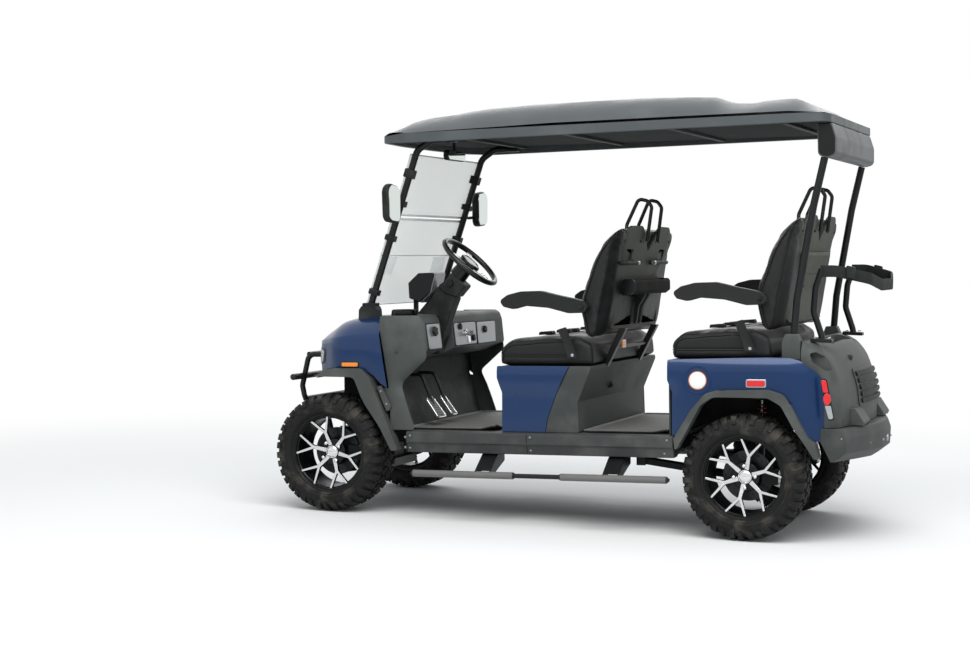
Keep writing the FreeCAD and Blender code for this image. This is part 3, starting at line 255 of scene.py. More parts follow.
# %% Blue metallic paint
blue = Finish("blue_metallic_paint", tone("06284f"), 0.36, metallic=0.3, coat_weight=0.5, coat_roughness=0.05,
              specular_ior_level=0.25)
flakes = blue.noise(1400, 1.0)
blue.tint(blue.band(flakes, 0.45, 0.75) * 0.5 + blue.band(blue.noise(3.0), 0.3, 0.8) * 0.12, tone("103a72"))
blue.emboss(blue.noise(90, 2.0), 0.00025, 0.35)

# %% [markdown]
# The cowls, flares and sills are moulded in dark grey with a leather-like grain about a millimetre across, and
# they hold a little pale dust. One function makes each grained plastic from a short table, since they differ
# only in tone, gloss and coarseness.

# %% Grained plastics
def grained(name, hexed, rough, cell, dust=0.25, depth=0.0004):
    made = Finish(name, tone(hexed), rough)
    cells = made.node("TexVoronoi", {"feature": "SMOOTH_F1"}, {"Vector": made.place, "Scale": 1.0 / cell})
    fine = made.noise(2.0 / cell, 2.0)
    cloud = made.band(made.noise(6.0, 5.0), 0.42, 0.75)
    made.tint(cloud * dust, tone("8c8d88"))
    made.put("Roughness", cloud * 0.14 + fine * 0.06 + (rough - 0.03))
    made.emboss(cells + fine * 0.5, depth, 0.6)
    return made


GRAINED = {
    "cowl_grain": ("424644", 0.50, 0.0011, 0.16),
    "sill_grain": ("393c3b", 0.52, 0.0012, 0.18),
    "flare_grain": ("424543", 0.50, 0.0012, 0.18),
    "dark_grain": ("151717", 0.55, 0.0010, 0.14),
    "shell_grain": ("3e4137", 0.48, 0.0013, 0.10),
    "roof_satin": ("484c4e", 0.38, 0.0030, 0.10),
    # Near-black felt: the colour of the liners, ceiling, seams, slots and tray, and painted shade on the inner arch
    # walls and the service hole.
    "felt_and_painted_shade": ("141515", 0.85, 0.0020, 0.10),
    "floor_pan": ("1d1f1f", 0.60, 0.0015, 0.25),
}
cowl_grain, sill_grain, flare_grain, dark_grain, shell_grain, roof_satin, felt_and_painted_shade, floor_pan = [
    grained(name, *row) for name, row in GRAINED.items()]
print(len(GRAINED), "grained plastics")

# %% [markdown]
# Metals: satin black powder coat on tubes, zinc on bolts, turned aluminium on the wheel faces, chrome on caps
# and nuts, gloss black inside the wheels. Turned faces carry fine rings round the axle, which come from the
# distance to the axle, so every wheel is drawn about its own origin.

# %% Metals
steel_black = Finish("black_powder_coat", tone("111213"), 0.36, specular_ior_level=0.3)
steel_black.mottle(40, 4.0, 0.16, 0.30)
steel_black.emboss(steel_black.noise(900, 2.0), 0.0002, 0.5)
zinc = Finish("zinc_plate", tone("9a9c9d"), 0.32, metallic=1.0)
zinc.mottle(400, 3.0, 0.3, 0.2)
chrome = Finish("bright_chrome", tone("dcdedf"), 0.07, metallic=1.0)
chrome.mottle(60, 3.0, 0.06, 0.04)
turned = Finish("turned_aluminium", tone("d4d6d7"), 0.22, metallic=1.0)
rings = turned.node("VectorMath", {"operation": "LENGTH"}, {0: turned.stretch(1, 0, 1)}, "Value")
GROOVES_PER_M = 9000.0
grooves = rings.math("SINE", rings * GROOVES_PER_M)
turned.mottle(30, 3.0, 0.12, 0.16)
turned.emboss(grooves, 0.00004, 0.5)
rim_black = Finish("rim_gloss_black", tone("08090a"), 0.3, specular_ior_level=0.25)
rim_black.tint(rim_black.band(rim_black.noise(25, 5.0), 0.5, 0.8) * 0.05, tone("70706a"))
iron = Finish("cast_iron", tone("1d1f20"), 0.6, metallic=0.4)
iron.emboss(iron.noise(350, 4.0), 0.0006, 0.6)
iron.mottle(30, 4.0, 0.3, 0.4)
disc_steel = Finish("disc_steel", tone("333536"), 0.4, metallic=0.8)
disc_steel.mottle(120, 3.0, 0.2, 0.25)
red_paint = Finish("red_enamel", tone("8c1015"), 0.3, coat_weight=0.8, coat_roughness=0.1)
red_paint.tint(red_paint.band(red_paint.noise(60, 4.0), 0.45, 0.8) * 0.3, tone("5d0c0f"))

# %% [markdown]
# Rubber and upholstery. Tyre rubber is almost black and dry, with patches of dust. The seats are in
# black vinyl with a pebbled grain of a millimetre and a half, over slow creases a hand wide. Webbing is woven:
# two wave patterns at right angles make its ribs.

# %% Rubber, vinyl and webbing
rubber = Finish("tyre_rubber", tone("1b1b1b"), 0.78)
dirt = rubber.band(rubber.noise(14, 6.0), 0.46, 0.72)
rubber.tint(dirt * 0.35, tone("6a665c"))
rubber.put("Roughness", dirt * 0.12 + 0.70)
rubber.emboss(rubber.noise(500, 4.0), 0.0005, 0.5)
mat_rubber = Finish("mat_rubber", tone("686866"), 0.6)
mat_rubber.tint(mat_rubber.band(mat_rubber.noise(12, 5.0), 0.45, 0.75) * 0.4, tone("77756d"))
mat_rubber.emboss(mat_rubber.noise(700, 3.0), 0.0004, 0.6)
vinyl = Finish("black_vinyl", tone("0e0f10"), 0.46, specular_ior_level=0.28)
pebbles = vinyl.node("TexVoronoi", {"feature": "DISTANCE_TO_EDGE"}, {"Vector": vinyl.place, "Scale": 620.0})
creases = vinyl.noise(9.0, 4.0, vinyl.stretch(1.0, 2.2, 1.0))
vinyl.put("Roughness", creases * 0.16 + 0.34)
vinyl.tint(vinyl.band(creases, 0.5, 0.8) * 0.10, tone("34383a"))
vinyl.emboss(vinyl.band(pebbles, 0.0, 0.12) * 0.0005 + creases * 0.006, 1.0, 0.5)
piping = Finish("vinyl_piping", tone("101112"), 0.3, specular_ior_level=0.4)
piping.mottle(80, 3.0, 0.2, 0.22)
webbing = Finish("woven_webbing", tone("1c1d1d"), 0.7)
warp = webbing.node("TexWave", {"bands_direction": "X"}, {"Vector": webbing.place, "Scale": 260.0})
weft = webbing.node("TexWave", {"bands_direction": "Y"}, {"Vector": webbing.place, "Scale": 260.0})
webbing.emboss(warp + weft, 0.0004, 0.7)
webbing.tint(warp * 0.15, tone("4a4b4b"))

# %% [markdown]
# Clear and coloured parts. A real pane shows its surroundings at a slant and almost nothing straight on. A
# refracting pane would need many bounces and throw a black shadow, so the pane is mixed by Fresnel from a
# clear shader and a mirror-like one. Its cut edges have a finish of their own, pale and opaque: painted
# highlight for the bright line that light makes along a cut acrylic edge.

# %% Panes, lenses and panels
pane = Finish("clear_acrylic", tone("f2f6f5"), 0.02)
clear = pane.tree.nodes.new("ShaderNodeBsdfTransparent")
clear.inputs["Color"].default_value = (0.975, 0.985, 0.98, 1)
shine = pane.node("Fresnel", {}, {"IOR": 1.45}) * 0.45 + pane.band(pane.noise(5.0, 5.0), 0.5, 0.9) * 0.03
mix_shaders(pane, shine, clear.outputs[0], pane.shader.outputs[0])
# Painted highlight: the pale colour of the cut edges stands in for the light that runs along them.
pane_edge_highlight = Finish("acrylic_edge_highlight", tone("e9efec"), 0.15)
pane_edge_highlight.mottle(200, 2.0, 0.2, 0.1)
silver = Finish("silver_panel", tone("8f9496"), 0.3, metallic=0.55, coat_weight=0.4)
silver.mottle(300, 3.0, 0.12, 0.24)
gloss_black = Finish("gloss_black", tone("0b0c0d"), 0.25, specular_ior_level=0.3)
gloss_black.mottle(20, 4.0, 0.12, 0.20)
mirror_glass = Finish("mirror_glass", tone("d5dcd8"), 0.02, metallic=1.0)
mirror_glass.mottle(30, 3.0, 0.02, 0.015)


def lens(name, hexed):
    """A moulded lens with fine prisms inside."""
    made = Finish(name, tone(hexed), 0.12, coat_weight=1.0, coat_roughness=0.04)
    ribs = made.node("TexWave", {"bands_direction": "Z"}, {"Vector": made.place, "Scale": 120.0})
    made.tint(ribs * 0.35, tuple(min(1.0, c * 1.8 + 0.03) for c in tone(hexed)))
    made.emboss(ribs, 0.0004, 0.5)
    return made


orange_lens = lens("orange_lens", "e8811c")
red_lens = lens("red_lens", "c4161c")
clear_lens = lens("clear_lens", "8f9495")
plain_white = Finish("plain_white_disc", tone("e4e5e2"), 0.35)
plain_white.tint(plain_white.band(plain_white.noise(60, 3.0), 0.5, 0.8) * 0.2, tone("c9c9c4"))
# Painted shade: a near-black without gloss, for the depth of the seat-shell pockets.
pocket_shade_black = Finish("pocket_shade_black", tone("060606"), 0.95, specular_ior_level=0.0)
pocket_shade_black.mottle(50, 3.0, 0.1, 0.88)
print(len(bpy.data.materials), "materials")

# %% The slot that a finish stands in, where its piece names no other
SLOT = {
    blue: "blue_paint", cowl_grain: "grey_plastic", sill_grain: "grey_plastic", flare_grain: "grey_plastic",
    dark_grain: "dark_plastic", felt_and_painted_shade: "dark_plastic", gloss_black: "dark_plastic",
    mirror_glass: "dark_plastic", pocket_shade_black: "dark_plastic", shell_grain: "shell_plastic",
    roof_satin: "roof_plastic", steel_black: "black_steel", zinc: "steel", chrome: "steel",
    silver: "silver_panel", plain_white: "silver_panel", rubber: "tyre_rubber", mat_rubber: "mat_rubber",
    vinyl: "black_leather", piping: "black_leather", webbing: "webbing", red_lens: "red_lens",
    orange_lens: "lamp_orange", pane: "clear_pane", pane_edge_highlight: "clear_pane", red_paint: "spring_red",
}
print(len(SLOT), "finishes have a slot of their own")

# %% [markdown]
# ## Drawing helpers
# Moulded panels all come from outlines. A slab is an outline pushed straight through, with its edges bevelled.
# A skin is an outline filled with a grid of small cells, so that it can be bent to any surface by one function
# of two coordinates. Tubes are curves with a round section, and turned parts are profiles spun round the axle.

# %% Outlines with rounded corners
def bend_corner(before, corner, after, radius, step):
    back = (before - corner).normalized()
    onward = (after - corner).normalized()
    half = back.angle(onward) / 2
    if radius <= 0 or half > math.radians(88):
        return [corner]
    reach = min(radius / math.tan(half), 0.49 * (before - corner).length, 0.49 * (after - corner).length)
    radius = reach * math.tan(half)
    centre = corner + (back + onward).normalized() * (radius / math.sin(half))
    start = corner + back * reach - centre
    turn = math.pi - 2 * half
    count = max(1, round(math.degrees(turn) / step))
    hinge = onward.cross(back)
    return [centre + Quaternion(hinge, turn * i / count) @ start for i in range(count + 1)]


def closed_run(points, step=9.0):
    """A closed outline of (a, b) or (a, b, radius) corners as points in a plane."""
    corners = [Vector((p[0], p[1], 0)) for p in points]
    run = []
    for i, corner in enumerate(corners):
        radius = points[i][2] if len(points[i]) > 2 else 0
        run += bend_corner(corners[i - 1], corner, corners[(i + 1) % len(corners)], radius, step)
    return run


def open_run(points, bend, step=9.0):
    """An open path in space with its corners bent."""
    path = [Vector(p) for p in points]
    run = [path[0]]
    for before, corner, after in zip(path, path[1:], path[2:]):
        run += bend_corner(before, corner, after, bend, step)
    return run + [path[-1]]


def in_space(a, b, at, axis):
    return {"x": Vector((at, a, b)), "y": Vector((a, at, b)), "z": Vector((a, b, at))}[axis]


# %% Small mesh helpers
def outward(bm):
    bmesh.ops.recalc_face_normals(bm, faces=bm.faces)
    return bm


def bridged(bm, rows, ring=True, loop=False, flip=False, caps=False):
    """Faces from each row of vertices to the next. ring closes the rows, loop joins the last row to the first."""
    for here, there in zip(rows, rows[1:] + rows[:1] if loop else rows[1:]):
        for i in range(len(here) if ring else len(here) - 1):
            k = (i + 1) % len(here)
            bm.faces.new((here[i], there[i], there[k], here[k]) if flip else (here[i], here[k], there[k], there[i]))
    if caps:
        bm.faces.new(rows[0])
        bm.faces.new(rows[-1])
    return bm


def sliced(bm, axis, cuts):
    """New edges where planes square to an axis meet the mesh."""
    normal = Vector([float(axis == k) for k in range(3)])
    for cut in cuts:
        whole = bm.verts[:] + bm.edges[:] + bm.faces[:]
        bmesh.ops.bisect_plane(bm, geom=whole, plane_co=normal * cut, plane_no=normal)


def turns(count):
    """The angles of even steps round a circle."""
    return [2 * math.pi * i / count for i in range(count)]


def rect(a0, a1, b0, b1, radius=0):
    return ((a0, b0, radius), (a1, b0, radius), (a1, b1, radius), (a0, b1, radius))


def both_ways(half):
    """A path that ends at the middle, carried on to the cart's other side."""
    return half + [(x, -y, z) for x, y, z in reversed(half[:-1])]


# %% Slabs, skins and boxes as loose meshes
def slab(points, low, high, axis="y"):
    """The outline pushed from low to high along an axis."""
    bm = bmesh.new()
    run = closed_run(points)
    ends = [[bm.verts.new(in_space(p.x, p.y, at, axis)) for p in run] for at in (low, high)]
    bm.faces.new(ends[0])
    bm.faces.new(ends[1])
    for i in range(len(run)):
        k = (i + 1) % len(run)
        bm.faces.new((ends[0][i], ends[0][k], ends[1][k], ends[1][i]))
    return outward(bm)


def skin(points, surface, cell, thick=0.0):
    """The outline cut into cells and laid on surface(a, b), a point in space, then given a thickness."""
    bm = bmesh.new()
    run = closed_run(points)
    bm.faces.new([bm.verts.new(p) for p in run])
    for axis in (0, 1):
        low, high = min(p[axis] for p in run), max(p[axis] for p in run)
        count = max(1, round((high - low) / cell))
        sliced(bm, axis, [low + (high - low) * i / count for i in range(1, count)])
    for v in bm.verts:
        v.co = surface(v.co.x, v.co.y)
    outward(bm)
    if thick:
        bmesh.ops.solidify(bm, geom=bm.faces[:], thickness=thick)
        outward(bm)
    return bm


def block(x0, x1, y0, y1, z0, z1):
    return slab(((x0, z0), (x1, z0), (x1, z1), (x0, z1)), y0, y1)


def joined(*meshes):
    """Several loose meshes as one."""
    whole = bmesh.new()
    for bm in meshes:
        data = bpy.data.meshes.new("loose")
        bm.to_mesh(data)
        whole.from_mesh(data)
        bpy.data.meshes.remove(data)
    return whole


def moved(bm, matrix):
    copy = bm.copy()
    bmesh.ops.transform(copy, matrix=matrix, verts=copy.verts)
    if matrix.determinant() < 0:
        bmesh.ops.reverse_faces(copy, faces=copy.faces)
    return copy


ACROSS = Matrix.Diagonal((1, -1, 1, 1))


def both(*meshes):
    """The meshes and their mirror images on the cart's other side."""
    return joined(*meshes, *[moved(bm, ACROSS) for bm in meshes])


# %% From a loose mesh to a piece that rides on a body
pieces = []


def mounted(ob, finish, body, slot):
    """The piece rides on its body and joins the list of pieces. Its slot is looked up but not kept."""
    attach(ob, body)
    slot = slot or SLOT[finish]
    pieces.append(ob)
    return ob


def piece(name, bm, finish, body="chassis", place=BODY, bevel=0.0, sharp=32.0, segments=3, slot=None, at=None):
    """Makes the object. at is its own origin, for a piece that turns."""
    data = bpy.data.meshes.new(name)
    bmesh.ops.transform(bm, matrix=place, verts=bm.verts)
    bm.to_mesh(data)
    ob = placed(name, data)
    for each in finish if isinstance(finish, (list, tuple)) else [finish]:
        data.materials.append(each.material)
    data.shade_smooth()
    if sharp:
        data.set_sharp_from_angle(angle=math.radians(sharp))
    if bevel:
        edge = ob.modifiers.new("edge", "BEVEL")
        edge.width = bevel * MM
        edge.segments = segments
        edge.limit_method = "ANGLE"
        edge.angle_limit = math.radians(30)
        edge.harden_normals = True
    if at is not None:
        ob.matrix_world = at
    return mounted(ob, finish, body, slot)


def tubes(name, paths, radius, finish, bend=0.0, body="chassis", slot=None):
    """Round bars along paths, as one curve."""
    data = bpy.data.curves.new(name, "CURVE")
    data.dimensions = "3D"
    data.bevel_depth = radius * MM
    data.bevel_resolution = 5
    data.use_fill_caps = True
    for path in paths:
        run = open_run(path, bend)
        line = data.splines.new("POLY")
        line.points.add(len(run) - 1)
        for point, p in zip(line.points, run):
            point.co = (BODY @ p).to_4d()
        line.use_smooth = True
    ob = placed(name, data)
    data.materials.append(finish.material)
    return mounted(ob, finish, body, slot)


def across(*paths):
    """Each path and its mirror image."""
    return list(paths) + [[(x, -y, z) for x, y, z in path] for path in paths]


def sideways(*spots):
    """Places of bolts on both flanks, each facing out."""
    return [((x, s * y, z), (0, s, 0)) for x, y, z in spots for s in (1, -1)]


def bolts(name, places, radius, finish=zinc, body="chassis", slot=None):
    """Domed heads at (x, y, z), each facing its own direction."""
    whole = bmesh.new()
    for point, facing in places:
        head = bmesh.new()
        for r, low, high in ((radius, 0, radius * 0.35), (radius * 0.62, radius * 0.3, radius * 0.85)):
            bmesh.ops.create_cone(head, cap_ends=True, segments=16 if r == radius else 6, radius1=r, radius2=r * 0.86,
                                  depth=high - low, matrix=Matrix.Translation((0, 0, (low + high) / 2)))
        turn = Vector(facing).to_track_quat("Z", "Y").to_matrix().to_4x4()
        whole = joined(whole, moved(head, Matrix.Translation(point) @ turn))
    return piece(name, whole, finish, body, sharp=40, slot=slot)


def spun(profile, steps):
    """A closed (along, radius) profile turned round the Y axis."""
    bm = bmesh.new()
    rings = [[bm.verts.new((r * math.cos(a), y, r * math.sin(a))) for y, r in profile] for a in turns(steps)]
    return outward(bridged(bm, rings, loop=True))


def round_bar(start, end, radius):
    """A plain cylinder between two points."""
    start, end = Vector(start), Vector(end)
    bm = bmesh.new()
    turn = (end - start).to_track_quat("Z", "Y").to_matrix().to_4x4()
    bmesh.ops.create_cone(bm, cap_ends=True, segments=40, radius1=radius, radius2=radius, depth=(end - start).length,
                          matrix=Matrix.Translation((start + end) / 2) @ turn)
    return bm


def ease(t):
    t = min(1.0, max(0.0, t))
    return t * t * (3 - 2 * t)


def between(x, table):
    """The value at x of a line through (x, value) points in rising x."""
    if x <= table[0][0]:
        return table[0][1]
    for (x0, v0), (x1, v1) in zip(table, table[1:]):
        if x <= x1:
            return v0 + (v1 - v0) * (x - x0) / (x1 - x0)
    return table[-1][1]


print("helpers ready")

# %% Cutting one mesh out of another
def evaluated(ob):
    return ob.evaluated_get(bpy.context.evaluated_depsgraph_get())


def carved(bm, *cutters):
    made = []
    for each in (bm,) + cutters:
        data = bpy.data.meshes.new("carving")
        each.to_mesh(data)
        made.append(placed("carving", data))
    for cutter in made[1:]:
        cut = made[0].modifiers.new("cut", "BOOLEAN")
        cut.object = cutter
        cut.operation = "DIFFERENCE"
        cut.solver = "EXACT"
    bpy.context.view_layer.update()
    result = bmesh.new()
    result.from_mesh(evaluated(made[0]).to_mesh())
    for ob in made:
        bpy.data.objects.remove(ob)
    return result


# %% [markdown]
# ## Tyres
# An all-terrain tyre shows its blocks more than its rubber: tall stepped lugs on both shoulders that run down
# the flank, and two rows of hooked blocks between. Each block is an outline on the unrolled tread, pushed out
# and then wrapped round the section. Displacement from a picture would be quicker and would look like a picture.

# %% Tyre
TYRE_HALF_SECTION = ((0, 279.5), (55, 279), (88, 275), (106, 266), (117, 250), (122, 232), (120.5, 214), (111, 200.5),
                     (100.5, 195.6))
PITCHES = 38
SHOULDER_LUG, MIDDLE_LUG = 11.5, 11.0
TREAD_R = 279.0
PITCH = 2 * math.pi * TREAD_R / PITCHES


def on_section(t):
    """Across-the-tread length t to a place on the section and the way out of the rubber there."""
    side = -1 if t < 0 else 1
    left = abs(t)
    for (y0, r0), (y1, r1) in zip(TYRE_HALF_SECTION, TYRE_HALF_SECTION[1:]):
        length = math.hypot(y1 - y0, r1 - r0)
        if left <= length or (y1, r1) == TYRE_HALF_SECTION[-1]:
            share = left / length
            out = Vector((-(r1 - r0), y1 - y0)) / length
            return side * (y0 + (y1 - y0) * share), r0 + (r1 - r0) * share, side * out.x, out.y
        left -= length


def tread_block(outline, height, start, side):
    bm = bmesh.new()
    bm.faces.new([bm.verts.new((p.x, p.y, -3)) for p in closed_run(outline)])
    sliced(bm, 1, (60, 80, 96, 110, 124))
    pushed = bmesh.ops.extrude_face_region(bm, geom=bm.faces[:])
    for v in pushed["geom"]:
        if isinstance(v, bmesh.types.BMVert):
            v.co.z = height * (1.0 if v.co.y < 104 else max(0.25, 1 - (v.co.y - 104) / 60))
            v.co.x = 23 + (v.co.x - 23) * 0.93
    for v in bm.verts:
        y, r, out_y, out_r = on_section(v.co.y * side)
        a = (v.co.x + start) / TREAD_R
        radius = r + out_r * v.co.z
        v.co = Vector((radius * math.cos(a), y + out_y * v.co.z, radius * math.sin(a)))
    return bm


shoulder_long = ((3, 64), (24, 58), (33, 70), (33, 100), (38, 118), (38, 146), (8, 146), (8, 118), (3, 100))
shoulder_short = ((5, 68), (30, 62), (37, 78), (34, 104), (34, 128), (12, 128), (12, 104), (5, 92))
middle_hook = ((2, 6), (22, 3), (27, 16), (40, 18), (40, 40), (26, 53), (18, 40), (18, 26), (4, 24))
section = list(TYRE_HALF_SECTION) + [(100.5, 186), (-100.5, 186)]
section += [(-y, r) for y, r in reversed(TYRE_HALF_SECTION[1:])]
tyre_bm = [spun(section, 114)]
for i in range(PITCHES):
    tyre_bm.append(tread_block(shoulder_long if i % 2 else shoulder_short, SHOULDER_LUG, i * PITCH, 1))
    tyre_bm.append(tread_block(shoulder_short if i % 2 else shoulder_long, SHOULDER_LUG, (i + 0.5) * PITCH, -1))
    tyre_bm.append(tread_block(middle_hook, MIDDLE_LUG, (i + 0.3) * PITCH, 1))
    tyre_bm.append(tread_block(middle_hook, MIDDLE_LUG, (i + 0.8) * PITCH, -1))
RIB_R = 1.6
for y_rib, r_rib in ((121.8, 222), (115.5, 205)):
    for s in (1, -1):
        ring = [(s * (y_rib + RIB_R * math.cos(a)), r_rib + RIB_R * math.sin(a)) for a in (0, 1.6, 3.1, 4.7)]
        tyre_bm.append(spun(ring, 96))
tyre_bm = joined(*tyre_bm)
outward(tyre_bm)
print("tyre faces", len(tyre_bm.faces))

# %% [markdown]
# ## Wheels
# Six Y-shaped spokes drop towards a hub that sits deep inside a gloss black barrel. Their faces are turned
# bright and their flanks stay black, so each bar takes two finishes by the way its faces look.

# %% One wheel
HUB_Y = 43.0
TIP_Y = 89.0
FORK_SHARE = 0.48
BOLT_CIRCLE_R = 50.8
barrel_profile = ((101, 194.5), (101, 188), (97, 184), (88, 180), (80, 172), (60, 168.5), (10, 167), (-84, 168),
                  (-96, 178), (-101, 188), (-101, 194.5), (-94, 194.5), (-94, 178.2), (-70, 173), (60, 173),
                  (94, 178.2), (94, 194.5))
barrel_bm = spun(barrel_profile, 96)


def tapered_bar(start, end, width0, width1, depth):
    """A bar whose bright face is its +Y side."""
    along = (end - start).normalized()
    side = along.cross(Vector((0, 1, 0))).normalized()
    bm = bmesh.new()
    rows = []
    for point, width in ((start, width0), (end, width1)):
        rows.append([bm.verts.new(point + side * s * width / 2 * f + Vector((0, d, 0)))
                     for s, f, d in ((1, 1, 0), (-1, 1, 0), (-1, 1.35, -depth), (1, 1.35, -depth))])
    return outward(bridged(bm, rows, caps=True))


def on_face(radius, degrees, y):
    a = math.radians(degrees)
    return Vector((radius * math.cos(a), y, radius * math.sin(a)))


def spokes(phase):
    parts = []
    fork_y = HUB_Y + (TIP_Y - HUB_Y) * FORK_SHARE
    for i in range(6):
        angle = phase + 60 * i
        parts.append(tapered_bar(on_face(34, angle, HUB_Y + 4), on_face(107, angle, fork_y), 21, 14.5, 17))
        for side in (-1, 1):
            start = on_face(101, angle + side * 1.2, fork_y - 1)
            parts.append(tapered_bar(start, on_face(183, angle + side * 15.5, TIP_Y), 13, 9, 15))
    whole = joined(*parts)
    for face in whole.faces:
        face.material_index = 0 if face.normal.y > 0.75 else 1
    return whole


def cap_profile(top, radius, steps=7):
    """Half a dome, from its rim to its crown."""
    angles = [i * math.pi / 2 / steps for i in range(steps + 1)]
    return [(top * math.sin(a), max(0.2, radius * math.cos(a))) for a in angles]


def hub_parts(phase):
    face = spun([(HUB_Y - 14, 68), (HUB_Y - 3, 66), (HUB_Y + 2, 56), (HUB_Y + 2, 30), (HUB_Y - 14, 30)], 48)
    cap = spun([(HUB_Y - 4, 31), (HUB_Y + 8, 31)] + [(HUB_Y + 8 + y, r) for y, r in cap_profile(9, 28)]
               + [(HUB_Y - 4, 0.2)], 48)
    nuts = []
    for i in range(4):
        seat = on_face(BOLT_CIRCLE_R, phase + 45 + 90 * i, HUB_Y)
        nut = spun([(0, 10.5), (7, 10.5), (12, 8.5), (24, 8.2)] + [(24 + y, r) for y, r in cap_profile(5, 8, 4)]
                   + [(0, 0.2)], 12)
        nuts.append(moved(nut, Matrix.Translation(seat)))
    return face, joined(cap, *nuts)


MM_ONLY = Matrix.Scale(MM, 4)
WHEELS = {"front_left": (1, 1, 11), "front_right": (1, -1, 11), "rear_left": (-1, 1, 41), "rear_right": (-1, -1, 41)}
for name, (fore, side, phase) in WHEELS.items():
    turn = Matrix.Identity(4) if side > 0 else Matrix.Rotation(math.pi, 4, "Z")
    centre = Matrix.Translation((MID_X + fore * WHEELBASE / 2 * MM, side * TRACK / 2 * MM, TYRE_R * MM)) @ turn
    body = "wheel_" + name
    tread = piece("tyre_" + name + "_tread", tyre_bm.copy(), rubber, body, MM_ONLY, sharp=28, at=centre)
    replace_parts(tread, "tyre_" + name)
    barrel = piece("barrel_" + name, barrel_bm.copy(), rim_black, body, MM_ONLY, slot="alloy", at=centre)
    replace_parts(barrel, "wheel_" + name)
    piece("spokes_" + name, spokes(phase), (turned, rim_black), body, MM_ONLY, bevel=1.2, segments=2, slot="alloy",
          at=centre)
    face, bright = hub_parts(phase)
    piece("hub_face_" + name, face, rim_black, body, MM_ONLY, bevel=1.5, slot="alloy", at=centre)
    piece("cap_and_nuts_" + name, bright, chrome, body, MM_ONLY, sharp=25, slot="alloy", at=centre)
    disc = spun([(-22, 118), (-22, 62), (-17, 62), (-17, 118)], 72)
    # The drilled holes are thin dark discs on the disc face: painted shade where the holes are.
    holes = []
    for i in range(36):
        spot = on_face(78 + 13 * (i % 3), i * 10 + 4 * (i % 3), -16.9)
        holes.append(moved(spun([(-0.5, 4), (0.5, 4), (0.5, 0.2), (-0.5, 0.2)], 10), Matrix.Translation(spot)))
    hat = spun([(-50, 42), (-50, 30), (32, 30), (32, 42), (-14, 66), (-17, 70), (-22, 70), (-22, 62), (-22, 46)], 48)
    piece("brake_disc_" + name, disc, disc_steel, body, MM_ONLY, bevel=0.8, slot="alloy", at=centre)
    piece("disc_hole_shades_" + name, joined(*holes), iron, body, MM_ONLY, slot="alloy", at=centre)
    piece("disc_hat_" + name, hat, iron, body, MM_ONLY, slot="alloy", at=centre)
print("four wheels")

# %% [markdown]
# ## Floor
# A plain pale floor, wide enough that its edge lies behind the horizon of every view. Near the cart it keeps
# the shadow, and further out it fades to the white of the surroundings.

# %% Floor
floor_bm = bmesh.new()
bmesh.ops.create_grid(floor_bm, x_segments=2, y_segments=2, size=60)
paving = Finish("pale_floor", (0.80, 0.80, 0.79), 0.9)
glow = paving.tree.nodes.new("ShaderNodeEmission")
far = paving.band(paving.node("VectorMath", {"operation": "LENGTH"}, {0: paving.place}, "Value"), 2.6, 6.0)
fade = far * paving.node("LightPath", out="Is Camera Ray")
mix_shaders(paving, fade, paving.shader.outputs[0], glow.outputs[0])
floor_data = bpy.data.meshes.new("studio_floor")
floor_bm.to_mesh(floor_data)
floor_data.materials.append(paving.material)
studio_floor = placed("studio_floor", floor_data)
studio_floor.location.z = -0.0005

# %% [markdown]
# ## Nose
# The bonnet and nose are one moulding: an upright wall that follows the plan of the cart, a soft shoulder, and
# a crown that rises inwards. Boxes with bevels can't give that shoulder. The skin is drawn as ribs instead,
# one at each point of the plan, from the wheel arch up the wall and in to the middle.

# %% Bonnet and nose
BODY_HALF = 600.0
SCUTTLE_X = 755
WALL_STEPS, CROWN_STEPS = 8, 20
NOSE_PLAN = ((SCUTTLE_X, -100), (SCUTTLE_X, BODY_HALF), (985, BODY_HALF, 160), (1150, 440, 190), (1194, 0),
             (1194, -100))
half_plan = [(p.x, p.y) for p in closed_run(NOSE_PLAN, 6)]
half_plan = [(x, y) for x, y in half_plan if y >= 0 and (x > SCUTTLE_X or y > BODY_HALF - 1)]


def filled_in(points, gap):
    """The same line with points no further apart than gap."""
    out = [points[0]]
    for a, b in zip(points, points[1:]):
        count = max(1, round(math.dist(a, b) / gap))
        out += [(a[0] + (b[0] - a[0]) * i / count, a[1] + (b[1] - a[1]) * i / count) for i in range(1, count + 1)]
    return out


half_plan = filled_in(half_plan, 24)
whole_plan = half_plan + [(x, -y) for x, y in reversed(half_plan[:-1])]
CROWN_X = ((755, 1003), (860, 1000), (930, 990), (1000, 974), (1070, 946), (1130, 922), (1200, 900))
SHOULDER_X = ((755, 930), (900, 922), (1039, 905), (1120, 893), (1200, 884))
ARCH_X = ((711, 645), (765, 650), (806, 716), (850, 742), (1021, 740), (1090, 706), (1150, 690), (1200, 684))


def hood_rib(x, y):
    """Points from the wheel arch up the wall and in over the crown, for one point of the plan."""
    low = between(x, ARCH_X)
    shoulder = between(x, SHOULDER_X)
    rib = []
    for i in range(WALL_STEPS + 1):
        t = i / WALL_STEPS
        z = low + (shoulder - 18 - low) * t
        swelling = 5 * math.sin(math.pi * t)
        rib.append(Vector((x, y * (1 + swelling / BODY_HALF), z)))
    inward = Vector((min(x, 1010) - x, -y))
    length = max(1.0, inward.length)
    for i in range(1, CROWN_STEPS + 1):
        d = length * (i / CROWN_STEPS) ** 1.5
        px, py = x + inward.x * d / length, y + inward.y * d / length
        rise = 1 - (1 - min(d / 200, 1)) ** 2.4
        rib.append(Vector((px, py, shoulder - 18 + (between(px, CROWN_X) - shoulder + 18) * rise)))
    return rib


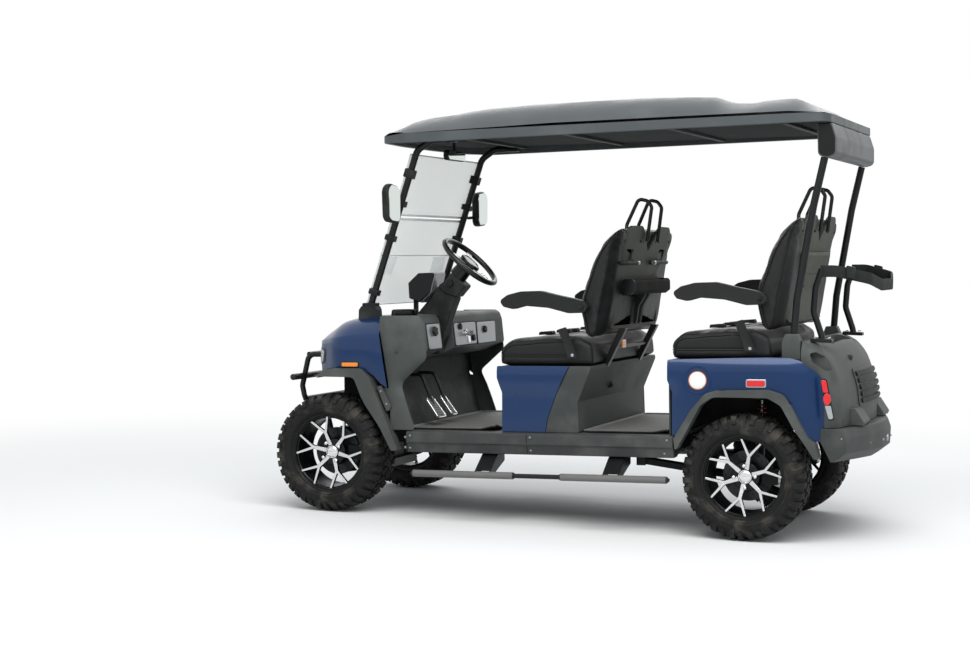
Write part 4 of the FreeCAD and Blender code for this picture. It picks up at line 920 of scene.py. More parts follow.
hood_bm = bmesh.new()
ribs = []
for x, y in whole_plan:
    rib = hood_rib(x, y)
    for p in rib:
        lean = max(0.0, 1 - (p.x - SCUTTLE_X) / 110)
        p.x += lean * between(p.z, ((645, -44), (807, -20), (934, 0), (1010, 0)))
    ribs.append([hood_bm.verts.new(p) for p in rib])
bridged(hood_bm, ribs, ring=False, flip=True)
bmesh.ops.remove_doubles(hood_bm, verts=hood_bm.verts, dist=0.8)
outward(hood_bm)
bmesh.ops.solidify(hood_bm, geom=hood_bm.faces[:], thickness=4)
hood = piece("bonnet_skin", hood_bm, blue, sharp=50)
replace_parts(hood, "hood")
print("bonnet ribs", len(ribs))

# %% [markdown]
# The nose carries a dark grille with two lamps. They face away from the camera, so their shape is a guess of
# the plain kind: a black panel that follows the nose, slats across it, and a clear lens at each end.

# %% Grille and headlamps
def on_nose(y, z, out):
    """A point of the nose wall at a place across it, pushed out by a little."""
    for (x0, y0), (x1, y1) in zip(half_plan, half_plan[1:]):
        if y1 <= abs(y) <= y0:
            share = (abs(y) - y0) / (y1 - y0) if y1 != y0 else 0
            normal = Vector((y0 - y1, x1 - x0)).normalized()
            lift = 5 * math.sin(math.pi * max(0.0, min(1.0, (z - 690) / 190)))
            side = -1 if y < 0 else 1
            x, wide = x0 + (x1 - x0) * share, abs(y)
            return Vector((x + normal.x * out, side * (wide * (1 + lift / BODY_HALF) + normal.y * out), z))
    return Vector((half_plan[-1][0] + out, y, z))


grille = skin(((-330, 720, 20), (330, 720, 20), (350, 842, 20), (-350, 842, 20)), lambda y, z: on_nose(y, z, 1.2), 22,
              1.0)
piece("nose_grille", grille, dark_grain, sharp=50, slot="grey_plastic")
slats = [skin(rect(-310, 310, z, z + 7, 3), lambda y, zz: on_nose(y, zz, 6), 22, 5) for z in range(738, 832, 19)]
piece("nose_slats", joined(*slats), steel_black, bevel=1, slot="grey_plastic")
for side, sy in (("left", 1), ("right", -1)):
    shape = ((sy * 378, 748, 16), (sy * 498, 764, 18), (sy * 512, 838, 18), (sy * 378, 846, 16))
    frame_ring = skin(shape, lambda y, z: on_nose(y, z, 2), 14, 2)
    piece("headlamp_frame_" + side, frame_ring, gloss_black, sharp=50)
    inner = tuple((sy * (440 + (abs(p[0]) - 440) * 0.8), 800 + (p[1] - 800) * 0.76, 12) for p in shape)
    piece("headlamp_lens_" + side, skin(inner, lambda y, z: on_nose(y, z, 5), 14, 3), clear_lens, sharp=50,
          slot="lamp_orange")

# %% [markdown]
# ## Grey cowl
# Behind the bonnet, a grained cowl rises from the sill, closes the side of the dash and rolls in towards the
# driver. It is a skin whose surface falls inwards near its rear edge, so that the edge reads as thick. A deck
# closes its top from side to side.

# %% Front cowl
COWL_HALF = 577
COWL_EDGE = ((444, 560), (601, 612), (675, 655), (792, 520), (1001, 545))


def cowl_side(x, z):
    roll = max(0.0, 1 - (x - between(z, COWL_EDGE)) / 60)
    top = max(0.0, (z - 955) / 50)
    foot = ease((700 - z) / 200) * 14
    return Vector((x, COWL_HALF + foot - 26 * roll ** 2.2 - 20 * top ** 2.2, z))


cowl_outline = ((757, 1003, 8), (560, 1003, 34), (536, 985, 20), (519, 792, 36), (656, 672, 40), (628, 600, 60),
                (575, 446, 10), (700, 446), (700, 560), (766, 655, 20), (711, 646), (735, 807), (757, 934))
cowl = both(skin(cowl_outline, cowl_side, 22, -4))
deck = skin(((560, -560), (757, -560), (757, 560), (560, 560)),
            lambda x, y: Vector((x, y, 1003 - 14 * (abs(y) / 560) ** 8 - 6 * ease((600 - x) / 60))), 40, 4)
front_cowl = piece("front_cowl_skin", joined(cowl, deck), cowl_grain, sharp=45)
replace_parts(front_cowl, "front_cowl")
bolts("cowl_dimple", sideways((666, COWL_HALF + 0.5, 831)), 11, cowl_grain)

# %% [markdown]
# ## Wheel-arch flares
# Each flare is a moulded strip with a rolled outer lip, thick where it shows and open towards the wheel. The
# small slots on top and the bolted strap are separate parts on the real one too.

# %% Flares and liners
front_flare = ((1102, 703, 10), (1022, 744, 34), (846, 746, 44), (796, 700, 44), (712, 500, 60), (680, 420, 30),
               (650, 345, 10), (686, 345, 8), (748, 464, 200), (834, 586, 200), (880, 701, 46), (923, 703, 20),
               (1078, 704, 8))
rear_flare = ((-735, 432, 6), (-816, 562, 60), (-884, 640, 50), (-934, 656, 40), (-1178, 662, 50), (-1248, 640, 50),
              (-1290, 580, 60), (-1318, 520, 60), (-1358, 440, 40), (-1392, 421, 10), (-1409, 349, 8), (-1385, 349),
              (-1352, 402, 30), (-1290, 492, 60), (-1236, 590, 50), (-1176, 624, 40), (-920, 625, 50),
              (-866, 588, 50), (-760, 400, 20), (-742, 371, 6))
FLARE_OUT = 627.0
flares = both(slab(front_flare, 560, FLARE_OUT), slab(rear_flare, 560, FLARE_OUT))
flare = piece("arch_flares", flares, flare_grain, bevel=7, segments=4)
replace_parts(flare, "fender_flares")
slots_bm = []
for x, z, lean in ((1018, 744, 0), (1002, 746.5, 0), (948, 746.8, 0), (-958, 657, 0), (-972, 657.5, 0),
                   (-1064, 659, 0), (-1078, 659.5, 0), (-1275, 603, 60), (-1282, 588, 60)):
    tilt = Matrix.Translation((x, 0, z)) @ Matrix.Rotation(math.radians(-lean), 4, "Y")
    slots_bm.append(moved(block(-5, 5, 596, 618, -1.2, 1.2), tilt))
piece("flare_slots", both(*slots_bm), felt_and_painted_shade, bevel=0.6, slot="grey_plastic")
strap = both(slab(((766, 655, 6), (744, 662, 6), (690, 560, 6), (700, 540, 6), (716, 536, 6)), 588, 606))
piece("flare_strap", strap, flare_grain, bevel=3)
bolts("flare_bolts", sideways((742, 606, 634), (712, 606, 572), (614, 607, 412), (614, 607, 363)), 6.5)

# %% Dark liners inside the arches, and walls of painted shade behind them
def arch_liner(path, inner, outer):
    bm = bmesh.new()
    rows = [[bm.verts.new((p.x, y, p.z)) for y in (inner, outer)] for p in open_run([(x, 0, z) for x, z in path], 50)]
    bridged(bm, rows, ring=False, flip=True)
    bmesh.ops.solidify(bm, geom=bm.faces[:], thickness=3)
    return bm


front_liner = arch_liner(((1110, 694), (1030, 734), (856, 736), (806, 690), (704, 470), (700, 452)), 350, 570)
rear_liner = arch_liner(((-752, 452), (-872, 610), (-925, 642), (-1170, 648), (-1240, 618), (-1300, 520)), 360, 572)
piece("arch_liners", both(front_liner, rear_liner), felt_and_painted_shade, sharp=60)
# Further in, flat near-black walls close the arches: painted shade for the dark inside of each arch.
front_shade_wall = slab(((1110, 700), (1030, 740), (856, 742), (806, 700), (740, 560), (900, 470), (1000, 470),
                   (1110, 600)), 232, 235)
rear_shade_wall = slab(((-745, 470), (-872, 612), (-925, 646), (-1170, 652), (-1240, 622), (-1330, 480)), 284, 287)
piece("arch_shade_walls", both(front_shade_wall, rear_shade_wall), felt_and_painted_shade)
print("arches lined")

# %% [markdown]
# ## Rear quarters
# The blue quarter is flat over the wheel, rolls in along its top edge, and wraps round towards the lamp. Its
# front edge steps in under the seat, and a recessed round cap sits above the arch.

# %% Rear quarter
def quarter(x, z):
    top = max(0.0, (z - 768) / 40)
    wrap = max(0.0, (-1290 - x) / 200)
    waist = ease((700 - z) / 60) * ease((x + 760) / 50) * 10
    return Vector((x, BODY_HALF - 22 * top ** 2 - 128 * wrap ** 2 - waist, z))


quarter_outline = ((-703, 796, 6), (-702, 702, 20), (-722, 647, 30), (-720, 446, 6), (-744, 446), (-818, 560, 60),
                   (-886, 640, 50), (-934, 654, 40), (-1178, 660, 50), (-1246, 640, 50), (-1288, 582, 60),
                   (-1314, 520, 60), (-1355, 440, 40), (-1400, 424), (-1491, 438), (-1492, 529, 60), (-1457, 641, 80),
                   (-1390, 742, 90), (-1322, 792, 60), (-1277, 804, 60), (-1180, 808, 60))
skin_quarter = skin(quarter_outline, quarter, 26, 4)
quarters = piece("rear_quarters", both(skin_quarter), blue, sharp=45)
deck_bm = block(-1313, -703, -577, 577, 782, 794)
wall_bm = block(-712, -704, -577, 577, 444, 781)
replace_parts(quarters, "rear_body")
piece("rear_deck", joined(deck_bm, wall_bm), dark_grain, bevel=1)
ring_bm = spun([(0, 66), (0, 58), (2.6, 60), (2.6, 64)], 64)
cap_bm = spun([(0, 40), (4, 38.5), (5, 35), (5, 0.3), (0, 0.3)], 64)
turned_ring = Matrix.Translation((-847, 599.2, 701))
piece("side_cap_rings", both(moved(ring_bm, turned_ring)), blue, sharp=40)
piece("side_caps", both(moved(cap_bm, turned_ring)), plain_white, sharp=40)
rim_bm = spun([(0, 43), (0, 40), (3.6, 40.6), (3.6, 42.4)], 64)
piece("side_cap_edges", both(moved(rim_bm, turned_ring)), orange_lens, sharp=40)

# %% [markdown]
# ## Front seat base
# A blue side panel ends in an arc; behind it the base is dark moulded plastic with a service hole.

# %% Front seat base panels
BASE_HALF = 572


def base_side(x, z):
    top = max(0.0, (z - 735) / 24)
    bulge = 6 * ease((z - 620) / 60)
    return Vector((x, BASE_HALF + bulge - 8 * top ** 2, z))


side_blue = both(skin(((145, 759, 6), (145, 703, 20), (121, 634, 40), (123, 446), (-96, 446), (-106, 511, 60),
                       (-152, 630, 100), (-216, 759)), base_side, 22, 4))
panel = piece("front_base_sides", side_blue, blue, sharp=45)
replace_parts(panel, "front_side_panels")
crease = across([(60, 579, 670), (44, 574.5, 600), (26, 573, 520), (16, 573, 452)])
tubes("base_creases", crease, 2.2, blue, 80)
BASE_REAR = ((-262, 446, 4), (-258, 592, 20), (-322, 742, 10), (-322, 760, 4))
dark_outline = ((-219, 759), (-155, 630, 100), (-109, 511, 60), (-99, 446)) + BASE_REAR
dark_side = both(skin(dark_outline, lambda x, z: Vector((x, BASE_HALF - 1 - 8 * max(0.0, (z - 735) / 24) ** 2, z)),
                      24, 4))
piece("front_base_rear_sides", dark_side, sill_grain, sharp=45, slot="dark_plastic")
core = slab(((128, 446), (119, 631), (142, 703, 30), (142, 758)) + tuple(reversed(BASE_REAR)), -566, 566)
hollow = slab(((118, 440), (110, 631), (132, 703), (132, 748), (-300, 748), (-300, 740), (-246, 600), (-250, 440)),
              -556, 556)
base = piece("front_base_moulding", carved(core, hollow), sill_grain, bevel=3, slot="dark_plastic")
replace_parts(base, "front_seat_pedestal")
# The service hole is a near-black domed disc: painted shade inside the hole.
bolts("base_hole_shade", [((-281, 123, 646), (-1, 0, -0.4))], 17, felt_and_painted_shade)
cells_of_battery = [block(-236 + i * 74, -164 + i * 74, -330, 330, 447, 690) for i in range(4)]
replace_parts(piece("battery_pack", joined(*cells_of_battery), dark_grain, bevel=4, slot="battery_case"), "battery")
strut = slab(((-296, 761), (-322, 744), (-420, 930, 4), (-386, 930, 4), (-320, 800)), 262, 302)
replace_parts(piece("seat_back_struts", both(strut), steel_black, bevel=2), "seat_brackets")
tubes("seat_back_cross_bar", [[(-352, -300, 838), (-352, 300, 838)]], 10, steel_black)

# %% [markdown]
# ## Sills
# The rocker is one long extrusion: an upright face, a crease, and a chamfer that turns under. Its front end is
# bolted to the flare, and a seam shows at mid-length.

# %% Sills
sill_profile = ((470, 356, 2), (530, 338, 8), (586, 337, 6), (597, 380, 3), (606, 388, 4), (603, 437, 8),
                (572, 443.5, 3), (544, 443.5), (544, 437), (470, 437))
sills = piece("sill_mouldings", both(slab(sill_profile, -727, 612, "x")), sill_grain, sharp=25, bevel=1.5)
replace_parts(sills, "sills")
bolts("sill_bolts", sideways((-28, 605, 422), (-700, 605, 422), (590, 605, 420),
                             (-27, 590, 360), (-684, 590, 360), (596, 590, 360)), 6.5)
tubes("sill_seams", across([(-9, 604.5, 437), (-9, 606, 392), (-9, 598, 381), (-9, 587, 340)]), 1.2, felt_and_painted_shade,
      slot="grey_plastic")
print(len(pieces), "pieces so far")

# %% [markdown]
# ## Canopy
# The canopy is one moulding: a thin upright edge, a crease, and a crown that rises in a long soft slope to a
# raised middle with a scallop near its tail. Its height is a function of place: a line along the cart for the
# crease, another for the crown, and a ramp between them by the distance to the edge.

# %% Canopy surface
ROOF_OUTLINE = ((-1462, -545, 40), (-1428, -602, 40), (600, -602, 80), (744, -540, 90), (786, -200, 300),
                (786, 200, 300), (744, 540, 90), (600, 602, 80), (-1428, 602, 40), (-1462, 545, 40))
CREASE = ((-1467, 1906), (-1287, 1921), (-777, 1917), (-147, 1911), (104, 1903), (622, 1890), (790, 1874))
CROWN = ((-1462, 1910), (-1400, 1945), (-1357, 1968), (-1301, 1996), (-1145, 1991), (-1074, 1981), (-1000, 1984),
         (-944, 1997), (-906, 2016), (-735, 2024), (-538, 2028), (-30, 2021), (231, 2010), (343, 1999), (391, 1989),
         (525, 1977), (600, 1967), (650, 1942), (720, 1918), (790, 1876))
UNDER_EDGE = ((-1462, 1868), (-777, 1867), (-146, 1862), (60, 1845), (600, 1842), (790, 1850))


ROOF_HALF, ROOF_TAIL, ROOF_BROW = 602, -1462, 790


def roof_top(x, y):
    """The canopy's upper face. gap is the distance to its nearest edge."""
    gap = max(0.0, min(ROOF_HALF - abs(y), x - ROOF_TAIL, ROOF_BROW - x - 44 * (abs(y) / 540) ** 4))
    ramp = 0.10 * ease(gap / 12) + 0.90 * (1 - (1 - min(1.0, max(0.0, gap - 12) / 230)) ** 1.8)
    crest = between(x, CREASE)
    return Vector((x, y, crest + (between(x, CROWN) - crest) * ramp))


top_bm = skin(ROOF_OUTLINE, roof_top, 30)
edge_bm = bmesh.new()
rows = []
for p in closed_run(ROOF_OUTLINE):
    inner_x, inner_y = (p.x + 336) * 0.988 - 336, p.y * 0.982
    under = between(p.x, UNDER_EDGE)
    rows.append([edge_bm.verts.new(q) for q in (
        (p.x, p.y, between(p.x, CREASE)), (p.x, p.y, under + 4),
        (inner_x * 0.25 + p.x * 0.75, inner_y * 0.25 + p.y * 0.75, under),
        (inner_x, inner_y, under + 3), (inner_x, inner_y, 1884))])
bridged(edge_bm, rows, ring=False, loop=True, flip=True)
roof_bm = joined(top_bm, edge_bm)
bmesh.ops.remove_doubles(roof_bm, verts=roof_bm.verts, dist=0.3)
outward(roof_bm)
canopy = piece("canopy_shell", roof_bm, roof_satin, sharp=26)
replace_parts(canopy, "roof")
ceiling = slab([(p[0] * 0.984 - 5, p[1] * 0.975) + p[2:] for p in ROOF_OUTLINE], 1880, 1886, "z")
piece("canopy_ceiling", ceiling, felt_and_painted_shade, slot="roof_plastic")
ribs_bm = [block(x - 14, x + 14, -560, 560, 1866, 1881) for x in (-1250, -700, -150, 389)]
piece("canopy_ceiling_ribs", joined(*ribs_bm), dark_grain, bevel=3, slot="roof_plastic")

# %% Box under the tail of the canopy
box_profile = ((-1396, 1866), (-1398, 1716, 26), (-1444, 1711, 30), (-1481, 1722, 26), (-1482, 1800, 40),
               (-1462, 1866))
tail_box = piece("tail_box_cover", slab(box_profile, -536, 536), roof_satin, bevel=5)
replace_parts(tail_box, "roof_rear_box")
end_caps = both(slab(((-1402, 1862), (-1404, 1724, 26), (-1444, 1716, 28), (-1476, 1726, 26), (-1477, 1800, 40),
                      (-1458, 1862)), 534, 541))
piece("tail_box_ends", end_caps, gloss_black, bevel=2, slot="roof_plastic")

# %% [markdown]
# ## Tubes
# Posts, guard, steps and struts are bent steel tube, so each is a curve with a round section. They run through
# the same points as the solids they stand for.

# %% Windshield posts
POST_Y, POST_R = 452.0, 17.0
POST_LEAN = 0.3434


def post_x(z):
    return 839 - (z - 1104) * POST_LEAN


post_path = [(post_x(985), POST_Y, 985), (post_x(1812), POST_Y, 1812), (520, POST_Y, 1862), (389, POST_Y, 1862)]
posts = tubes("windshield_tubes", across(post_path), POST_R, steel_black, 70)
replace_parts(posts, "windshield_posts")
base = slab(((806, 945, 6), (812, 1030, 8), (820, 1048, 4), (896, 1048, 4), (909, 1030, 8), (914, 930, 6)),
            POST_Y - 34, POST_Y + 34)
collar = slab(((822, 1046, 3), (820, 1064, 5), (892, 1064, 5), (894, 1046, 3)), POST_Y - 27, POST_Y + 27)
piece("post_bases", both(base, collar), dark_grain, bevel=5, slot="black_steel")
clips = []
for z in (1118, 1385, 1555, 1700):
    tall = 22 if z > 1600 else 15
    turn = Matrix.Translation((post_x(z), 0, z)) @ Matrix.Rotation(math.atan(-POST_LEAN), 4, "Y")
    clips.append(moved(block(-24, 26, POST_Y - 24, POST_Y + 22, -tall, tall), turn))
piece("post_clips", both(*clips), dark_grain, bevel=4, slot="black_steel")
foot = slab(((386, 1846, 4), (386, 1864), (455, 1864), (455, 1850, 4)), POST_Y - 24, POST_Y + 24)
piece("post_feet_on_canopy", both(foot), steel_black, bevel=3)

# %% Rear roof tubes and bench supports
rear_path = [(-1268, 505, 800), (-1292, 505, 1067), (-1372, 505, 1498), (-1424, 505, 1712)]
rear_tubes = tubes("rear_roof_tubes", across(rear_path), POST_R, steel_black, 60)
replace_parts(rear_tubes, "rear_roof_posts")
foot_rear = slab(((-1313, 795, 3), (-1310, 880, 6), (-1296, 912, 5), (-1242, 912, 5), (-1226, 870, 8),
                  (-1226, 795, 3)), 471, 539)
piece("rear_post_bases", both(foot_rear), cowl_grain, bevel=6, slot="black_steel")
support_path = [(-1392, 420, 872), (-1386, 420, 905), (-1352, 420, 1010), (-1362, 420, 1120), (-1392, 420, 1206)]
tubes("bench_supports", across(support_path), 15, steel_black, 60)
pads = slab(((-1438, 868, 3), (-1438, 884, 3), (-1340, 890, 3), (-1340, 872, 3)), 394, 446)
piece("support_feet", both(pads), steel_black, bevel=2)
bolts("support_bolts", [((x, s * y, 889), (0, 0, 1)) for s in (1, -1) for x in (-1422, -1358) for y in (404, 436)], 7)

# %% Brush guard
hoop = [(1179, 330, 800), (1262, 330, 800), (1302, 330, 640), (1288, 330, 570), (1246, 165, 505), (1214, 165, 372)]
guard = tubes("guard_hoops", across(hoop), 14, steel_black, 40)
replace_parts(guard, "brush_guard")
tubes("guard_bars", [[(1294, -454, 690), (1294, 454, 690)]], 16, steel_black)
tubes("guard_cross_bars", [[(1262, -330, 800), (1262, 330, 800)], [(1288, -330, 572), (1288, 330, 572)]], 13,
      steel_black)
bolts("guard_plugs", sideways((1294, 454, 690)), 15, dark_grain, slot="black_steel")
boss = slab(rect(1191, 1227, 347, 401, 4), 146, 184)
piece("guard_feet", both(boss), steel_black, bevel=3)

# %% Steps
STEP_Y, STEP_Z = 668, 244
step_parts = [[(x0, STEP_Y, STEP_Z), (x1, STEP_Y, STEP_Z)] for x0, x1 in ((548, 38), (-201, -712))]
steps = tubes("step_grips", across(*step_parts), 17, mat_rubber, slot="black_steel")
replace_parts(steps, "step_bars")
tubes("step_middles", across([(60, STEP_Y, STEP_Z), (-220, STEP_Y, STEP_Z)]), 11, steel_black)
STEP_ENDS = ((548, 1), (38, -1), (-201, 1), (-712, -1))
plugs = [((x, s * STEP_Y, STEP_Z), (facing, 0, 0)) for s in (1, -1) for x, facing in STEP_ENDS]
bolts("step_plugs", plugs, 16.5, dark_grain, slot="black_steel")
brackets = []
for x in (190, -446):
    for dx in (-40, 34):
        brackets.append(slab(((470, 354), (530, 335), (566, 335, 10), (676, 262, 10), (676, 244, 12), (655, 233, 8),
                              (470, 296)), x + dx, x + dx + 6, "x"))
    brackets.append(slab(((470, 354), (530, 335), (566, 335, 10), (668, 268), (660, 262), (562, 327, 10), (528, 327),
                          (470, 345)), x - 40, x + 40, "x"))
piece("step_plates", both(*brackets), steel_black, bevel=1.5)
print(len(pieces), "pieces with the tubes")

# %% [markdown]
# ## Windshield
# Two clear panes meet in a double joint. Acrylic looks like nothing straight on and like a bright line
# along its cut edges, so the edges are pieces of their own, and so are the fine vent ribs below. Both are
# pale and opaque, a painted highlight for the light that runs along the acrylic.

# %% Panes and their bright edges
def pane_x(z, out=0.0):
    return post_x(z) + (POST_R + 0.3) * math.hypot(1, POST_LEAN) + out


panes = []
for low, high in ((1052, 1488), (1500, 1796)):
    panes.append(slab(((pane_x(low), low), (pane_x(high), high), (pane_x(high, 5), high), (pane_x(low, 5), low)),
                      -470, 470))
glass = piece("clear_panes", joined(*panes), pane)
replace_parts(glass, "windshield_panes")
lines = []
for z, r in ((1502, 7), (1482, 7), (1300, 3), (1794, 4), (1054, 3)):
    lines.append(([(pane_x(z, 3), -466, z), (pane_x(z, 3), 466, z)], r))
for r in sorted({r for _, r in lines}):
    tubes("pane_edges_%d" % r, [path for path, each in lines if each == r], r, pane_edge_highlight)
tubes("pane_side_edges", across([(pane_x(1054, 3), 470, 1054), (pane_x(1794, 3), 470, 1794)]), 2.6, pane_edge_highlight)
ribs_paths = []
for i in range(9):
    y = 250 + 20 * i
    ribs_paths.append([(pane_x(1205, 6), y + 14, 1205), (pane_x(1292, 6), y, 1292)])
tubes("vent_ribs", across(*ribs_paths), 1.8, pane_edge_highlight)

# %% [markdown]
# ## Mirrors
# Each mirror is a shell with soft corners that holds a flat glass facing the driver. One hangs inside under the
# canopy, and two stand on arms beside the posts.

# %% Mirrors
inside_shell = slab(((-128, 1782, 22), (128, 1782, 22), (120, 1834, 20), (-120, 1834, 20)), 562, 590, "x")
mirror_shells = piece("inside_mirror_shell", inside_shell, dark_grain, bevel=8)
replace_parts(mirror_shells, "mirrors")
tubes("inside_mirror_stalk", [[(576, 0, 1826), (578, 0, 1884)]], 8, dark_grain)
glass_in = slab(((-120, 1786, 20), (120, 1786, 20), (113, 1830, 18), (-113, 1830, 18)), 559.5, 561.5, "x")
piece("inside_mirror_glass", glass_in, mirror_glass)
MIRROR_X = post_x(1508)
side_shell = slab(((538, 1452, 36), (676, 1462, 40), (684, 1622, 40), (640, 1648, 50), (534, 1634, 40)),
                  MIRROR_X - 48, MIRROR_X - 8, "x")
piece("side_mirror_shells", both(side_shell), dark_grain, bevel=14, segments=4)
side_glass = slab(((546, 1462, 30), (670, 1470, 34), (677, 1618, 34), (638, 1640, 44), (543, 1627, 34)),
                  MIRROR_X - 50, MIRROR_X - 47, "x")
piece("side_mirror_glasses", both(side_glass), mirror_glass)
arm_path = [(MIRROR_X, 462, 1508), (MIRROR_X, 510, 1500), (MIRROR_X - 24, 570, 1506)]
tubes("side_mirror_arms", across(arm_path), 8, dark_grain, 20)

# %% [markdown]
# ## Rear cowl and bumper
# The grey cowl behind the seat is a rounded box that leans inwards as it rises, with a bag well cut down into
# it. It is drawn as a stack of level rings, each a rounded plan, and the well is a Boolean cut.

# %% Rear cowl
COWL_BACK = ((486, -1550), (545, -1551), (600, -1548), (650, -1542), (700, -1528), (765, -1505), (810, -1478),
             (845, -1444), (862, -1415), (874, -1386), (880, -1362))
cowl_bm = bmesh.new()
levels = []
RING_POINTS = 90


def rounding(y):
    """How far forward the cowl's back lies at y, because it is rounded in plan."""
    return 44 * min(1.0, abs(y) / 400) ** 2


def even_run(run, count):
    """The same path in equal steps."""
    lengths = [0.0]
    for a, b in zip(run, run[1:]):
        lengths.append(lengths[-1] + (b - a).length)
    tables = [list(zip(lengths, [p[k] for p in run])) for k in range(3)]
    return [Vector([between(lengths[-1] * i / (count - 1), table) for table in tables]) for i in range(count)]


for z in (486, 545, 600, 650, 700, 740, 770, 800, 825, 845, 860, 870, 876, 880):
    back = between(z, COWL_BACK)
    half = 548 - 40 * max(0.0, (z - 800) / 80) ** 2
    corner = max(back + 58, -1474)
    side = [(-1316, half, z), (corner, half, z)] + [(back + rounding(y), y, z) for y in (400, 300, 200, 100)]
    plan = open_run(both_ways(side + [(back, 0, z)]), 130, 6)
    levels.append([cowl_bm.verts.new(p) for p in even_run(plan, RING_POINTS)])
outward(bridged(cowl_bm, levels, caps=True))
well = slab(rect(-1408, -1335, -270, 270, 30), 560, 960, "z")
oval = slab(((-1352, 826, 12), (-1384, 830, 12), (-1436, 800, 14), (-1462, 751, 10), (-1424, 744, 12),
             (-1368, 782, 14)), 506, 700)
cowl_bm = carved(cowl_bm, well, oval, moved(oval, ACROSS))
rear_cowl = piece("rear_cowl_shell", cowl_bm, cowl_grain, sharp=35)
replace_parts(rear_cowl, "rear_cowl")


def on_back(y, z, out):
    """A place on the cowl's back, pushed out of it."""
    return Vector((between(z, COWL_BACK) + rounding(y) - out, y, z))


shelves = [skin(rect(-250, 250, z0, z0 + 24, 10),
                lambda y, z: on_back(y, z, 8 + 4 * math.sin((z - z0) / 24 * math.pi)), 24, 6)
           for z0 in range(580, 720, 31)]
piece("rear_louvre", joined(*shelves), dark_grain, bevel=2, slot="grey_plastic")
louvre_frame = skin(((-275, 566, 24), (275, 566, 24), (262, 742, 24), (-262, 742, 24)), lambda y, z: on_back(y, z, 3),
                    24, 3)
piece("rear_louvre_plate", louvre_frame, cowl_grain, bevel=1)
bolts("rear_knob", [(on_back(210, 790, 2), (-0.8, 0, 0.6))], 15, dark_grain, slot="grey_plastic")

# %% Bumper
bumper_bm = slab(((-1404, 484), (-1402, 424, 10), (-1436, 352, 10), (-1556, 318, 20), (-1616, 364, 8),
                  (-1621, 440, 8), (-1606, 482, 8)), -560, 560)
sliced(bumper_bm, 1, (-480, -400, -300, -200, -100, 100, 200, 300, 400, 480))
for v in bumper_bm.verts:
    wing = max(0.0, abs(v.co.y) - 100) / 460
    v.co.x += 100 * wing ** 1.2 * ease((-1420 - v.co.x) / 130)
    v.co.z += 12 * wing * ease((400 - v.co.z) / 60)
bumper = piece("bumper_moulding", bumper_bm, sill_grain, bevel=5)
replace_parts(bumper, "rear_bumper")
shoulders = slab(((-1480, 484), (-1566, 484, 6), (-1572, 500, 6), (-1530, 566, 10), (-1500, 566)), 200, 380)
piece("bumper_shoulders", both(shoulders), cowl_grain, bevel=5)
back_bolts = [((x, s * y, 400), (-1, s * lean, 0)) for x, y, lean in ((-1615, 110, 0), (-1580, 280, 0.3))
              for s in (1, -1)]
bolts("bumper_bolts", back_bolts + sideways((-1500, 557, 440)), 8)
tow = spun([(0, 26), (6, 26), (8, 22), (40, 20), (52, 16), (54, 10), (54, 0.3), (0, 0.3)], 24)
tow_place = Matrix.Translation((-1570, 0, 400)) @ Matrix.Rotation(math.radians(90), 4, "Z")
piece("tow_pin", moved(tow, tow_place), zinc, sharp=35)

# %% [markdown]
# ## Benches
# A seat is foam under stretched vinyl: it swells between its seams and pulls in along them. Each pad starts as
# its sewn pattern, a little small, and is blown up by a cloth simulation with gravity off. Then its seams are
# pressed in and piping is laid on them, both found from the swollen surface itself.

# %% Pads that swell
def pad_form(profile, half, roundness):
    """A side profile carried across the cart, drawn in towards its middle at both ends."""
    run = [Vector((p.x, 0, p.y)) for p in closed_run(profile)]
    middle = sum(run, Vector()) / len(run)
    bm = bmesh.new()
    rings = []
    stations = [half * math.sin(math.pi / 2 * i / 14) for i in range(-14, 15)]
    for y in stations:
        t = max(0.0, (abs(y) - (half - roundness)) / roundness)
        draw = roundness * 0.8 * (1 - math.sqrt(max(0.0, 1 - t * t)))
        ring = []
        for p in run:
            inward = middle - p
            step = min(draw, inward.length * 0.9)
            q = p + inward.normalized() * step
            ring.append(bm.verts.new((q.x, y, q.z)))
        rings.append(ring)
    return outward(bridged(bm, rings, caps=True))


VOXEL, SWELL_LIMIT = 11, 14
PRESSURE, CLOTH_FRAMES = 4.0, 20


def swell(bm):
    """The form remeshed, blown up by cloth under pressure, and held near where it began."""
    data = bpy.data.meshes.new("swelling")
    bm.to_mesh(data)
    data.transform(Matrix.Scale(MM, 4))
    ob = placed("swelling", data)
    remesh = ob.modifiers.new("even", "REMESH")
    remesh.mode = "VOXEL"
    remesh.voxel_size = VOXEL * MM
    bpy.context.view_layer.update()
    even = bpy.data.meshes.new_from_object(evaluated(ob))
    ob.modifiers.clear()
    ob.data = even
    before = [v.co.copy() for v in even.vertices]
    after = before
    cloth = ob.modifiers.new("cloth", "CLOTH")
    cloth.settings.quality = 4
    cloth.settings.use_pressure = True
    cloth.settings.uniform_pressure_force = PRESSURE
    cloth.settings.effector_weights.gravity = 0.0
    for frame_at in range(1, CLOTH_FRAMES + 1):
        bpy.context.scene.frame_set(frame_at)
    after = [v.co.copy() for v in evaluated(ob).data.vertices]
    ob.modifiers.clear()
    bpy.context.scene.frame_set(1)
    result = bmesh.new()
    result.from_mesh(even)
    for v, start, end in zip(result.verts, before, after):
        step = end - start
        if step.length > SWELL_LIMIT * MM:
            step *= SWELL_LIMIT * MM / step.length
        v.co = (start + step) / MM
    bpy.data.objects.remove(ob)
    bmesh.ops.smooth_vert(result, verts=result.verts, factor=0.5, use_axis_x=True, use_axis_y=True, use_axis_z=True)
    bmesh.ops.subdivide_edges(result, edges=result.edges[:], cuts=1, use_grid_fill=True, smooth=0.3)
    return result


def dense(path, step=6.0):
    run = []
    for a, b in zip(path, path[1:]):
        a, b = Vector(a), Vector(b)
        count = max(1, round((b - a).length / step))
        run += [a.lerp(b, i / count) for i in range(count)]
    return run + [Vector(path[-1])]


